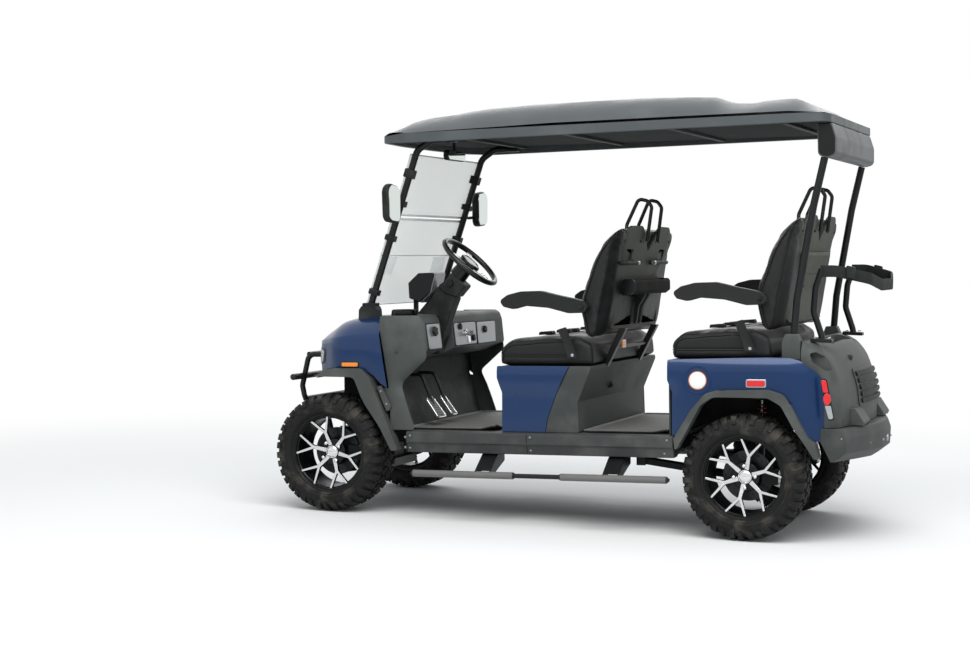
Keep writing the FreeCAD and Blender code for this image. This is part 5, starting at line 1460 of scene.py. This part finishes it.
def press_seams(bm, paths, width, depth):
    """Draws the surface in along paths, and returns the paths as they lie on it."""
    tree = BVHTree.FromBMesh(bm)
    laid = [[tree.find_nearest(p)[0] for p in dense(path)] for path in paths]
    reach = [point for path in laid for point in path]
    near = KDTree(len(reach))
    for i, point in enumerate(reach):
        near.insert(point, i)
    near.balance()
    bm.normal_update()
    shifts = {}
    for v in bm.verts:
        gap = near.find(v.co)[2]
        if gap < width:
            shifts[v] = v.normal * (-depth * (1 - gap / width) ** 2)
    for v, shift in shifts.items():
        v.co += shift
    return laid


def laid_piping(name, paths, radius):
    """A round cord along paths that already lie on a pad."""
    runs = []
    for path in paths:
        smooth = [path[0]] + [(a + b * 2 + c) / 4 for a, b, c in zip(path, path[1:], path[2:])] + [path[-1]]
        runs.append(smooth[::2])
    return tubes(name, runs, radius, piping)


# %% Cushions
REAR_BENCH = (-852.0, 34.0)
BENCHES = (("front", 0.0, 0.0), ("rear", *REAR_BENCH))
CUSHION = ((148, 768, 8), (150, 838, 34), (106, 874, 50), (-120, 893, 90), (-262, 894, 50), (-328, 858, 30),
           (-334, 768, 14))
BAND_Z = 806.0


def bench_path(points, dx, dz):
    """Points in space, moved from the front bench to another."""
    return [(x + dx, y, z + dz) for x, y, z in points]


def bench_outline(corners, dx, dz):
    """The same for the (x, z, radius) corners of a side profile."""
    return [(x + dx, z + dz, radius) for x, z, radius in corners]


for name, dx, dz in BENCHES:
    form = pad_form(bench_outline(CUSHION, dx, dz), 559, 22)
    for v in form.verts:
        if v.co.z > 860 + dz:
            dish = math.cos((abs(v.co.y) - 285) / 285 * math.pi / 2) ** 2
            v.co.z -= 12 * dish * ease((100 + dx - v.co.x) / 160)
    form = swell(form)
    side = 566.0
    upper = bench_path(((-228, side, 888), (-120, side, 884), (60, side, 868),
                        (112, side, 852), (134, side, 822), (137, side, 775)), dx, dz)
    corners = ((-236, side), (128, side), (150, 540), (150, -540), (128, -side), (-236, -side))
    band = bench_path([(x, y, BAND_Z) for x, y in corners], dx, dz)
    top = [bench_path(((-236, y, 905), (100, y, 890), (150, y, 840), (150, y, BAND_Z)), dx, dz)
           for y in (-470, -70, 70, 470)]
    laid = press_seams(form, [upper, [(x, -y, z) for x, y, z in upper], band] + top, 14, 4.5)
    cushion = piece(name + "_cushion", form, vinyl, sharp=0)
    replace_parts(cushion, name + "_seat_cushion")
    laid_piping(name + "_cushion_piping", laid[:3], 2.6)
print("two cushions")

# %% Back pads
BACK = ((-284, 886, 50), (-257, 1010, 80), (-263, 1083, 150), (-323, 1253, 200), (-374, 1352, 140), (-424, 1424, 44),
        (-470, 1424, 22), (-424, 1330, 100), (-384, 1083, 200), (-350, 890, 30))
PAD_MIDDLE = ((912, -315), (1083, -322), (1440, -452))
PAD_FACE = ((912, -240), (1083, -250), (1440, -410))
PIVOT = (-290, 1042)
for name, dx, dz in BENCHES:
    form = pad_form(bench_outline(BACK, dx, dz), 529, 16)
    for v in form.verts:
        hollow = math.cos((abs(v.co.y) - 262) / 262 * math.pi / 2) ** 2
        if v.co.x > between(v.co.z - dz, PAD_MIDDLE) + dx:
            v.co.x -= 14 * hollow * ease((v.co.z - 960 - dz) / 120)
        v.co.z -= 36 * max(0.0, (abs(v.co.y) - 350) / 180) ** 2 * ease((v.co.z - 1290 - dz) / 120)
        behind = between(v.co.z - dz, PAD_MIDDLE) + dx - v.co.x
        v.co.x += 30 * ease((abs(v.co.y) - 440) / 85) * ease(behind / 40)
    form = swell(form)
    edge = bench_path(both_ways([(-300, 520, 895), (-268, 524, 1012), (-275, 524, 1083), (-334, 524, 1253),
                                 (-385, 524, 1350), (-420, 505, 1405), (-426, 440, 1428), (-428, 0, 1432)]), dx, dz)
    gusset = bench_path(both_ways([(-330, 522, 890), (-332, 524, 1000), (-345, 524, 1083), (-400, 524, 1253),
                                   (-430, 520, 1350), (-452, 500, 1415), (-455, 440, 1430), (-455, 0, 1434)]), dx, dz)
    face = [bench_path(((-240, y, 930), (-238, y, 1010), (-250, y, 1083), (-310, y, 1253), (-400, y, 1420)), dx, dz)
            for y in (-420, -60, 60, 420)]
    rows = [bench_path([(between(z, PAD_FACE), y, z) for y in ends], dx, dz)
            for z in (1120, 1260) for ends in ((-420, -60), (60, 420))]
    laid = press_seams(form, [edge, gusset] + face + rows, 15, 5.0)
    back = piece(name + "_back_pad", form, vinyl, sharp=0)
    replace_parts(back, name + "_seat_back")
    laid_piping(name + "_back_piping", laid[:1], 3.0)
    pin_x, pin_z = PIVOT[0] + dx, PIVOT[1] + dz
    tubes(name + "_armrest_pins", across([(pin_x, 500, pin_z), (pin_x, 592, pin_z)]), 9, zinc)
    tubes(name + "_armrest_collars", across([(pin_x, 505, pin_z), (pin_x, 551, pin_z)]), 21, dark_grain)
print("two back pads")

# %% [markdown]
# The shell behind each back is a moulding with two lobes. The front bench's shell serves the rear passengers:
# it has a tray across, two long slots, hooks with pale ends, and pockets below. The rear one is plainer.

# %% Seat shells
SHELL_BACK = ((925, -385), (1083, -398), (1250, -430), (1319, -452), (1426, -474))
SHELL_HALF = 425.0
LOBES = ((-405, 926, 40), (-425, 1100, 60), (-415, 1300, 60), (-380, 1424, 100), (-150, 1426, 110), (0, 1302, 14),
         (150, 1426, 110), (380, 1424, 100), (415, 1300, 60), (425, 1100, 60), (405, 926, 40))
SHELL_T = 14.0


def shell_x(y, z):
    rim = ease((abs(y) - SHELL_HALF + 50) / 50) * 12
    return between(z, SHELL_BACK) + rim + 8 * (y / SHELL_HALF) ** 2


def pushed(bm, step):
    """A sheet given thickness along one direction."""
    made = bmesh.ops.extrude_face_region(bm, geom=bm.faces[:], use_keep_orig=True)
    verts = [v for v in made["geom"] if isinstance(v, bmesh.types.BMVert)]
    bmesh.ops.translate(bm, verts=verts, vec=step)
    return outward(bm)


def window(y0, y1, z0, z1, radius):
    """A cutter through the shell, square to it."""
    return slab(rect(y0, y1, z0, z1, radius), -560, -350, "x")


for name, dx, dz in BENCHES:
    plate = pushed(skin(LOBES, lambda y, z: Vector((shell_x(y, z) + dx, y, z + dz)), 26), (SHELL_T, 0, 0))
    if name == "front":
        slots = [window(y - 56, y + 56, 1258, 1312, 16) for y in (-275, 300)]
        pockets = [window(y, y + 290, 944, 1070, 14) for y in (-375, 85)]
        pin_holes = [window(y - 6, y + 6, 1340, 1352, 6) for y in (-110, 110)]
        plate = carved(plate, *slots, *pockets, *pin_holes)
        # A near-black sheet inside the shell shows through the pocket openings: painted shade for their depth.
        pocket_shade_sheet = skin(((-390, 940), (390, 940), (370, 1320), (-370, 1320)),
                      lambda y, z: Vector((shell_x(y, z) + 9, y, z)), 40)
        piece("front_shell_lining", pushed(pocket_shade_sheet, (4, 0, 0)), pocket_shade_black)
    shell = piece(name + "_shell", plate, shell_grain, sharp=34)
    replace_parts(shell, name + "_seat_shell")
tray = slab(((-398, 1090, 10), (-444, 1092, 14), (-466, 1108, 10), (-467, 1150, 8), (-462, 1164, 6), (-450, 1158, 4),
             (-444, 1126, 8), (-426, 1126, 4), (-420, 1162, 4), (-400, 1166, 4)), -345, 300)
piece("front_tray", tray, felt_and_painted_shade, bevel=4)
ends = slab(((-404, 1088, 8), (-444, 1090, 14), (-468, 1108, 10), (-468, 1152, 8), (-460, 1166, 8), (-404, 1168, 6)),
            298, 306)
piece("front_tray_ends", joined(ends, moved(ends, Matrix.Translation((0, -648, 0)))), gloss_black, bevel=3)
arms_under = slab(((-380, 940, 10), (-398, 950, 20), (-410, 1030, 60), (-446, 1086, 30), (-446, 1096), (-380, 1096)),
                  18, 52)
piece("front_tray_brackets", both(arms_under), dark_grain, bevel=4)
rails = [[(-426, y0, 1246), (-452, y0, 1246), (-452, y1, 1246), (-426, y1, 1246)]
         for y0, y1 in ((400, 185), (-110, -345))]
tubes("front_hook_bars", rails, 10, dark_grain, 14)
piece("front_hook_ends", joined(*[round_bar((-452, y, 1246), (-452, y - 26, 1246), 11.5) for y in (211, -84)]),
      silver, bevel=2)
rear_step = slab(((-396, 1150), (-416, 1150, 8), (-446, 1236, 12), (-444, 1252, 8), (-420, 1252)), -300, 300)
piece("rear_shell_step", moved(rear_step, Matrix.Translation((REAR_BENCH[0], 0, REAR_BENCH[1]))), shell_grain,
      bevel=6)
shell_screws = []
for name, dx, dz in BENCHES:
    shell_screws += [((shell_x(y, z) + dx - 1, y, z + dz), (-1, 0, 0)) for y in (-398, -160, 160, 398)
                     for z in (1090, 1350)]
bolts("shell_screws", shell_screws, 7, dark_grain)

# %% Grab loops
loop_path = [(-372, 112, 1400), (-372, 104, 1433), (-432, 96, 1560), (-476, 92, 1549), (-497, 92, 1520),
             (-472, 96, 1350)]
for name, dx, dz in BENCHES:
    tubes(name + "_grab_loops", across(bench_path(loop_path, dx, dz)), 9, steel_black, 24)
print(len(pieces), "pieces with the benches")

# %% [markdown]
# ## Dash
# The dash is one grey moulding with bright switch panels let into its face. A knob that a thumb turns has lobes,
# so each knob is a five-lobed outline pushed out, and the key switch is a chrome barrel in a dark collar.

# %% Dash and panels
COLUMN_TOP = Vector((398, 262, 1262))
LEAN = math.radians(42.5)
UP = Vector((-math.sin(LEAN), 0, math.cos(LEAN)))
OVER = Vector((math.cos(LEAN), 0, math.sin(LEAN)))
COLUMN = Matrix((OVER, (0, 1, 0), UP)).transposed().to_4x4()
COLUMN.translation = COLUMN_TOP
dash_bm = slab(((708, 1000), (545, 1000, 30), (528, 955, 12), (516, 830, 16), (620, 786, 30), (708, 770)), -547, 547)
column_way = round_bar(COLUMN_TOP - UP * 220, COLUMN_TOP - UP * 560, 48)
neck_way = block(480, 600, 200, 348, 740, 1020)
dash_bm = carved(dash_bm, column_way, neck_way)
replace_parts(piece("dash_moulding", dash_bm, cowl_grain, bevel=5), "dashboard")


def on_dash(y, z, out=0.0):
    """A place on the dash's leaning face."""
    return Vector((516 + (z - 830) * 0.096 - out, y, z))


def face_plate(points, low, high):
    """An outline in (y, z) that stands on the dash's face from low to high."""
    bm = slab(points, 0, 1, "x")
    for v in bm.verts:
        v.co = on_dash(v.co.y, v.co.z, high if v.co.x > 0.5 else low)
    return outward(bm)


def grown(corners, by):
    """A four-cornered outline made larger on all its sides."""
    return [(y + (by if i in (0, 3) else -by), z + (by if i < 2 else -by), r) for i, (y, z, r) in enumerate(corners)]


PANELS = (((535, 958, 10), (372, 958, 10), (366, 836, 10), (528, 836, 10)),
          ((176, 950, 12), (-128, 950, 12), (-122, 840, 10), (170, 840, 10)),
          ((-150, 946, 12), (-420, 946, 12), (-405, 838, 10), (-144, 838, 10)))
plates = piece("switch_panels", joined(*[face_plate(corners, -2, 5) for corners in PANELS]), silver, bevel=1.5)
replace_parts(plates, "dash_controls")
gaskets = [face_plate(grown(corners, 6), -2, 2) for corners in PANELS]
piece("switch_panel_gaskets", joined(*gaskets), dark_grain, bevel=1)


LOBE_DEPTH = 0.24


def lobed(radius, lobes=5):
    """A knob's outline: a circle with lobes."""
    outline = []
    for t in turns(60):
        reach = (1 - LOBE_DEPTH / 2 + LOBE_DEPTH / 2 * math.cos(lobes * t)) * radius
        outline.append((reach * math.cos(t), reach * math.sin(t)))
    return outline


def knob_at(y, z, radius, out=16, lobes=5):
    return face_plate([(y + a, z + b) for a, b in lobed(radius, lobes)], 3, out)


knobs = [knob_at(452, 922, 25, 20), knob_at(-250, 908, 19), knob_at(-70, 872, 19), knob_at(98, 934, 17, 14, 12)]
piece("dash_knobs", joined(*knobs), dark_grain, bevel=2)
KEY_AT = (20, 898)
KEY_RINGS = ((2, 9, 19), (9, 24, 11))
key = joined(*[round_bar(on_dash(*KEY_AT, low), on_dash(*KEY_AT, high), radius) for low, high, radius in KEY_RINGS])
piece("key_switch", key, chrome, bevel=1)
piece("key_blade", moved(block(-46, -20, -2, 2, -12, 12), Matrix.Translation(on_dash(*KEY_AT))), zinc, bevel=1)
rocker = face_plate(rect(-30, 4, 880, 848, 4), 3, 9)
piece("rocker_switch", rocker, chrome, bevel=2)
cup = [(0, 64), (4, 66), (26, 63), (31, 58), (31, 50), (27, 46), (2, 44), (0, 44)]
cup_bm = moved(spun(cup, 64), Matrix.Translation((668, 470, 1000.3)) @ Matrix.Rotation(math.radians(90), 4, "X"))
piece("cup_ring", cup_bm, gloss_black, sharp=35)
HEXAGON = ((702, 1160, 8), (647, 1209, 8), (560, 1211, 8), (586, 1112, 8), (640, 1062, 8), (698, 1084, 8))
piece("display_shell", slab(HEXAGON, 180, 340), gloss_black, bevel=5)
screen = slab(((562, 1202), (558, 1203), (583, 1111), (637, 1060), (640, 1064), (588, 1114)), 190, 330)
piece("display_face", screen, silver, bevel=1.2)
piece("display_neck", block(684, 700, 245, 279, 998, 1092), dark_grain, bevel=4)
print("dash with", len(PANELS), "panels")

# %% [markdown]
# ## Steering wheel and column
# The wheel is drawn flat, about its own axle, and one matrix leans it back on its column. Its rim is thick and
# padded. Three silver spokes drop from it to a hub pad, and the lowest has slots.

# %% Column
def head_slab(points, low, high):
    """An outline in the column's own frame, across and down, between two y planes."""
    return moved(slab([(a, -t) + tuple(r) for a, t, *r in points], low, high), COLUMN)


column_head = head_slab(((12, 97, 10), (-76, 94, 12), (-77, 168, 12), (-20, 196, 10), (37, 196, 12)), -46, 46)
column_neck = slab(((556, 1143, 10), (652, 1012, 20), (652, 900), (610, 800, 20), (560, 800, 20), (500, 985, 30),
                    (458, 1088, 16)), 222, 302)
piece("column_shroud", joined(column_head, column_neck), dark_grain, bevel=7)
rib = slab(((560, 1120, 6), (634, 1014, 10), (610, 1004, 8), (548, 1072, 10)), 294, 300)
piece("column_neck_rib", joined(rib, moved(rib, Matrix.Translation((0, -70, 0)))), cowl_grain, bevel=2)
collar = moved(spun([(-14, 40), (-96, 46), (-98, 40), (-98, 20), (-14, 20)], 48),
               COLUMN @ Matrix.Rotation(math.radians(90), 4, "X"))
piece("column_collar", collar, gloss_black, sharp=35)
tilt = slab([(486 + a, 1157 + b) for a, b in lobed(19, 6)], 306, 322)
piece("tilt_knob", tilt, gloss_black, bevel=2)

# %% Wheel
GRIP_R = 158
grip_ring = [(14 * math.sin(t), GRIP_R + 13 * math.cos(t)) for t in turns(20)]
FLAT = COLUMN @ Matrix.Rotation(math.radians(90), 4, "X")
rim = piece("steering_rim", moved(spun(grip_ring, 96), FLAT), piping, "steering_wheel", sharp=0)
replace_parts(rim, "steering_wheel")
seam_ring = moved(spun([(-1.5, 172), (1.5, 172), (1.5, 168), (-1.5, 168)], 96), FLAT)
piece("steering_rim_seam", seam_ring, dark_grain, "steering_wheel", slot="black_leather")


def spoke_plate(degrees, width, slots):
    """A bright spoke from the hub to the rim, dished towards the hub."""
    half = width / 2
    bm = skin(((30, -half - 4, 4), (150, -half + 8, 6), (150, half - 8, 6), (30, half + 4, 4)),
              lambda r, w: Vector((r, w, -8 * ease((110 - r) / 70))), 12)
    bm = pushed(bm, (0, 0, -5))
    if slots:
        bm = carved(bm, *[slab(rect(r, r + 9, 12 - half, half - 12, 2), -30, 30, "z") for r in (84, 100, 116)])
    return moved(bm, COLUMN @ Matrix.Rotation(math.radians(degrees), 4, "Z"))


arms = joined(spoke_plate(180, 52, True), spoke_plate(62, 40, False), spoke_plate(-62, 40, False))
piece("steering_spokes", arms, silver, "steering_wheel", bevel=1.5)
hub_oval = [(56 * math.cos(t) - 4, 46 * math.sin(t)) for t in turns(48)]
piece("steering_hub", moved(slab(hub_oval, -14, 6, "z"), COLUMN), gloss_black, "steering_wheel", bevel=6)
hub_ring = [COLUMN @ Vector((a * 0.86, b * 0.86, 6.5)) for a, b in hub_oval + hub_oval[:1]]
tubes("steering_hub_ring", [hub_ring], 2.6, silver, body="steering_wheel")
print("wheel and column")

# %% [markdown]
# ## Pedals and mats
# Each pedal is a rubber pad with a bright edge, hung on a cranked arm. The mats are ribbed rubber with a low
# lip, and long use has curled up their rear corners.

# %% Pedals
pads, edges, arms, grips = [], [], [], []
for y, half in ((330, 52), (160, 34)):
    lean = Matrix.Translation((568, y, 536)) @ Matrix.Rotation(math.radians(36), 4, "Y")
    shape = ((-half, -60, 14), (half, -60, 14), (half * 0.86, 60, 18), (-half * 0.86, 60, 18))
    pads.append(moved(slab(shape, -4, 4, "x"), lean))
    edges.append([lean @ Vector((-4, p.x, p.y)) for p in closed_run(shape) + closed_run(shape)[:1]])
    grips += [moved(block(-7, -3, -half + 14, half - 14, z - 3, z + 3), lean) for z in range(-42, 50, 14)]
    arms.append([(576, y, 544), (640, y, 700), (717.5, y, 700)])
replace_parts(piece("pedal_pads", joined(*pads), mat_rubber, bevel=1.5), "pedals")
piece("pedal_grips", joined(*grips), mat_rubber, bevel=1)
tubes("pedal_edges", edges, 3.2, chrome)
tubes("pedal_arms", arms, 8, steel_black, 30)

# %% Mats
MAT_HALF, MAT_TOP, MAT_LIP, RIB_STEP = 530, 447.3, 11, 6.5


def mat(x0, x1, curl):
    def lie(x, y):
        rim = ease(max(abs(y) - MAT_HALF + MAT_LIP, x0 + MAT_LIP - x, x - x1 + MAT_LIP) / MAT_LIP) * 9
        corner = ease((x0 + 90 - x) / 90) * ease((abs(y) - 430) / 90)
        rib = 1.6 if round((y + MAT_HALF) / RIB_STEP) % 2 and not rim else 0.0
        return Vector((x, y, MAT_TOP + rim + rib + curl * corner))
    return pushed(skin(rect(x0, x1, -MAT_HALF, MAT_HALF, 20), lie, RIB_STEP), (0, 0, -3.6))


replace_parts(piece("ribbed_mats", joined(mat(175, 640, 16), mat(-690, -268, 12)), mat_rubber, sharp=30), "floor_mats")
print("pedals and mats")

# %% [markdown]
# ## Armrests and belts
# An armrest is a padded bow that turns about one pin at the side of the backrest. Its outline was measured
# on the photograph. The belts are flat webbing, so they are drawn as strips that follow the cushion.

# %% Armrests
ARM = ((121, 1073, 16), (80, 1101, 30), (14, 1117, 50), (-86, 1119, 80), (-186, 1095, 80), (-260, 1080, 40),
       (-309, 1066, 22), (-319, 1037, 22), (-304, 1014, 22), (-225, 1012, 50), (-125, 1038, 80), (-10, 1048, 60),
       (51, 1032, 40), (101, 1044, 18))
for name, dx, dz in BENCHES:
    pin_x, pin_z = PIVOT[0] + dx, PIVOT[1] + dz
    for side, sign in (("left", 1), ("right", -1)):
        hole = round_bar((pin_x, sign * 549, pin_z), (pin_x, sign * 594, pin_z), 12)
        pad = carved(slab(bench_outline(ARM, dx, dz), *sorted((sign * 552, sign * 600))), hole)
        arm = piece(name + "_armrest_pad_" + side, pad, vinyl, name + "_armrest_" + side, bevel=9, segments=5)
        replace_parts(arm, name + "_armrest_" + side)
        bolts(name + "_armrest_cap_" + side, [((pin_x, sign * 600, pin_z), (0, sign, 0))], 13, dark_grain,
              name + "_armrest_" + side)


# %% Belts
def cushion_top(x, dx, dz):
    return 893 + dz + (x - dx - 60) * -0.034


def strip(points, y, width, thick, wave=0.0):
    """Flat webbing along (x, z) points at y."""
    run = dense([(x, 0, z) for x, z in points], 12)
    bm = bmesh.new()
    rows = []
    for i, p in enumerate(run):
        lift = wave * math.sin(i * 0.7 + y)
        rows.append([bm.verts.new((p.x, y + s * width / 2, p.z + lift * (1 + 0.3 * s))) for s in (-1, -0.4, 0.4, 1)])
    return pushed(bridged(bm, rows, ring=False), (0, 0, thick))


straps, buckles, releases = [], [], []
for name, dx, dz in BENCHES:
    for y in (-330, -60, 60, 330):
        top = [(x + dx, cushion_top(x + dx, dx, dz) + 5) for x in (-30, -110, -190, -248)]
        straps.append(strip(top, y, 47, 1.6, 1.5))
        lift = cushion_top(-20 + dx, dx, dz) + 4
        buckles.append(slab(((8 + dx, lift, 3), (4 + dx, lift + 16, 6), (-60 + dx, lift + 20, 6),
                             (-66 + dx, lift + 4, 3)), y - 27, y + 27))
        releases.append(slab(((9 + dx, lift + 3, 2), (5 + dx, lift + 15, 3), (-14 + dx, lift + 18, 3),
                              (-14 + dx, lift + 3, 2)), y - 17, y + 17))
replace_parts(piece("belt_straps", joined(*straps), webbing, sharp=0), "seat_belts")
piece("belt_buckles", joined(*buckles), dark_grain, bevel=4)
piece("belt_releases", joined(*releases), red_lens, bevel=2)
LEAF = ((-262, 800, 5), (-214, 800, 5), (-190, 880, 5), (-158, 934, 5), (-200, 946, 5), (-232, 884, 5))
stalks, anchors = [], []
for name, dx, dz in BENCHES:
    stalk = slab(bench_outline(LEAF, dx, dz), 580, 583)
    for v in stalk.verts:
        v.co.y -= 22 * ease((v.co.z - dz - 880) / 60)
    stalks.append(both(stalk))
    anchors += sideways((-238 + dx, 583, 814 + dz))
piece("belt_stalks", joined(*stalks), webbing, bevel=0.8)
bolts("belt_anchors", anchors, 9, chrome)
tag = slab(rect(-376, -368, 832, 872, 5), 150, 210)
piece("bracket_tags", tag, orange_lens, bevel=2)
print("armrests and belts")

# %% [markdown]
# ## Lamps and markers
# The tail lamps and the side markers are thin lenses that stand in bezels. Each lens carries fine prisms from
# its finish. A bezel is its own piece, since it is black or chromed and has a sharper edge.

# %% Lamps
def lens_at(points, y, deep):
    return both(slab(points, y, y + deep))


lamp_red = lens_at(((-1417, 708, 6), (-1440, 708, 10), (-1450, 652, 2), (-1427, 652, 2)), 600, 9)
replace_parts(piece("tail_red", lamp_red, red_lens, bevel=1.5), "rear_lamps")
piece("tail_round", lens_at([(-1444 + 17 * math.cos(t), 622 + 27 * math.sin(t)) for t in turns(32)], 600, 9),
      red_lens, bevel=2)
piece("tail_clear", lens_at(((-1434, 592, 2), (-1461, 592, 2), (-1472, 532, 10), (-1450, 532, 8)), 600, 8),
      clear_lens, bevel=1.5, slot="red_lens")
bezel = lens_at(((-1413, 714, 8), (-1443, 714, 12), (-1477, 526, 10), (-1447, 526, 8)), 598, 4)
piece("tail_bezel", bezel, gloss_black, bevel=1.5)
piece("rear_marker_lens", lens_at(rect(-1079, -1161, 675, 703, 6), 600, 9.5), red_lens, bevel=2)
piece("rear_marker_bezel", lens_at(rect(-1073, -1167, 670, 708, 8), 599, 4), chrome, bevel=1.5)
front_marker = piece("front_marker_lens", lens_at(rect(949, 864, 754, 774, 6), 600, 11.5), orange_lens, bevel=2)
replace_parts(front_marker, "front_lamps")
piece("front_marker_bezel", lens_at(rect(954, 859, 750, 778, 8), 599, 5), gloss_black, bevel=1.5)

# %% [markdown]
# ## Bag strap
# A wide padded strap hangs behind the rear bench, from one support to the other, and holds a bag. It is a flat
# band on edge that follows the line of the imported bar.

# %% Bag strap
band_half = ((-1386, 420, 1196), (-1456, 420, 1196), (-1596, 330, 1160), (-1622, 150, 1128))
band_path = open_run(list(band_half) + [(x, -y, z) for x, y, z in reversed(band_half)], 70, 6)
band_section = ((-4, -27), (4, -27), (6, -20), (7, 0), (6, 20), (4, 27), (-4, 27), (-6, 20), (-7, 0), (-6, -20))
UPRIGHT = Vector((0, 0, 1))
band_bm = bmesh.new()
band_rows = []
run = dense(band_path, 14)
for before, p, after in zip(run[:1] + run, run, run[1:] + run[-1:]):
    onward = (after - before).normalized()
    out = onward.cross(UPRIGHT).normalized()
    band_rows.append([band_bm.verts.new(p + out * a + UPRIGHT * b) for a, b in band_section])
outward(bridged(band_bm, band_rows, caps=True))
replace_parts(piece("bag_strap", band_bm, webbing, sharp=50), "bag_holder")
buckle = slab(((-1500, 1166, 6), (-1540, 1156, 6), (-1540, 1212, 6), (-1500, 1222, 6)), 386, 410)
piece("bag_strap_buckle", both(buckle), dark_grain, bevel=4)

# %% [markdown]
# ## Springs and brakes
# A coil spring is a helix of thick red wire round a damper, between two cups. The calipers are red blocks that
# straddle the discs, split where the disc runs.

# %% Coil-overs
SPRINGS = (((960.1, 290, 241), (946, 275, 649)), ((-1080, 330, 295.5), (-1088, 320, 599)))
COIL_TURNS, COIL_STEPS = 9, 18
coils, rods_of, cups = [], [], []
CUPS = ((0.28, 0.305, 27), (0.895, 0.92, 27), (0.02, 0.28, 17))
for spring in SPRINGS:
    for start, end in ([Vector(p) for p in path] for path in across(spring)):
        along = end - start
        turn = along.to_track_quat("Z", "Y")
        wire = []
        for i in range(COIL_TURNS * COIL_STEPS + 1):
            t = 2 * math.pi * i / COIL_STEPS
            wire.append(start + along * (0.30 + 0.60 * i / (COIL_TURNS * COIL_STEPS)) + turn
                        @ Vector((22 * math.cos(t), 22 * math.sin(t), 0)))
        coils.append(wire)
        rods_of.append([start + along * 0.28, start + along * 0.98])
        cups += [round_bar(start + along * a, start + along * b, r) for a, b, r in CUPS]
coil_set = tubes("coil_springs", coils, 4.6, red_paint)
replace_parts(coil_set, "coil_overs")
tubes("damper_rods", rods_of, 9, zinc)
piece("spring_cups", joined(*cups), steel_black, bevel=1.5)

# %% Calipers
def caliper(place, body, name):
    """Two halves and a bridge round the disc, drawn at the axle, left side."""
    face = ((-146, -36, 14), (-92, -30, 14), (-86, 0, 10), (-92, 30, 14), (-146, 36, 14))
    inner = slab(face, 440, 478)
    outer = slab(face, 491, 516)
    bridge = slab(((-146, -34, 6), (-124, -34, 6), (-124, 34, 6), (-146, 34, 6)), 470, 500)
    piece(name, moved(joined(inner, outer, bridge), place), red_paint, body, Matrix.Identity(4), bevel=4)


for end, x in (("front", WHEELBASE / 2), ("rear", -WHEELBASE / 2)):
    for side, sign in (("left", 1), ("right", -1)):
        place = GEAR @ Matrix.Translation((x, 0, TYRE_R)) @ Matrix.Diagonal((1, sign, 1, 1))
        caliper(place, "knuckle_" + side if end == "front" else "chassis", "caliper_" + end + "_" + side)
print("springs and calipers")

# %% [markdown]
# ## The rest
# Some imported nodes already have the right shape, or hide behind others. They stay as they are and get a finish
# that suits what they are made of.

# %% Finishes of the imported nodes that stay
KEPT = {"frame": steel_black, "floor": floor_pan, "front_suspension": steel_black, "rear_axle": iron,
        "knuckle_left": iron, "knuckle_right": iron, "steering_rack": iron, "steering_column": dark_grain}
for name, finish in KEPT.items():
    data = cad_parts[name].data
    data.materials.clear()
    data.materials.append(finish.material)
print(len(KEPT), "packed nodes stay,", len(pieces), "pieces drawn")
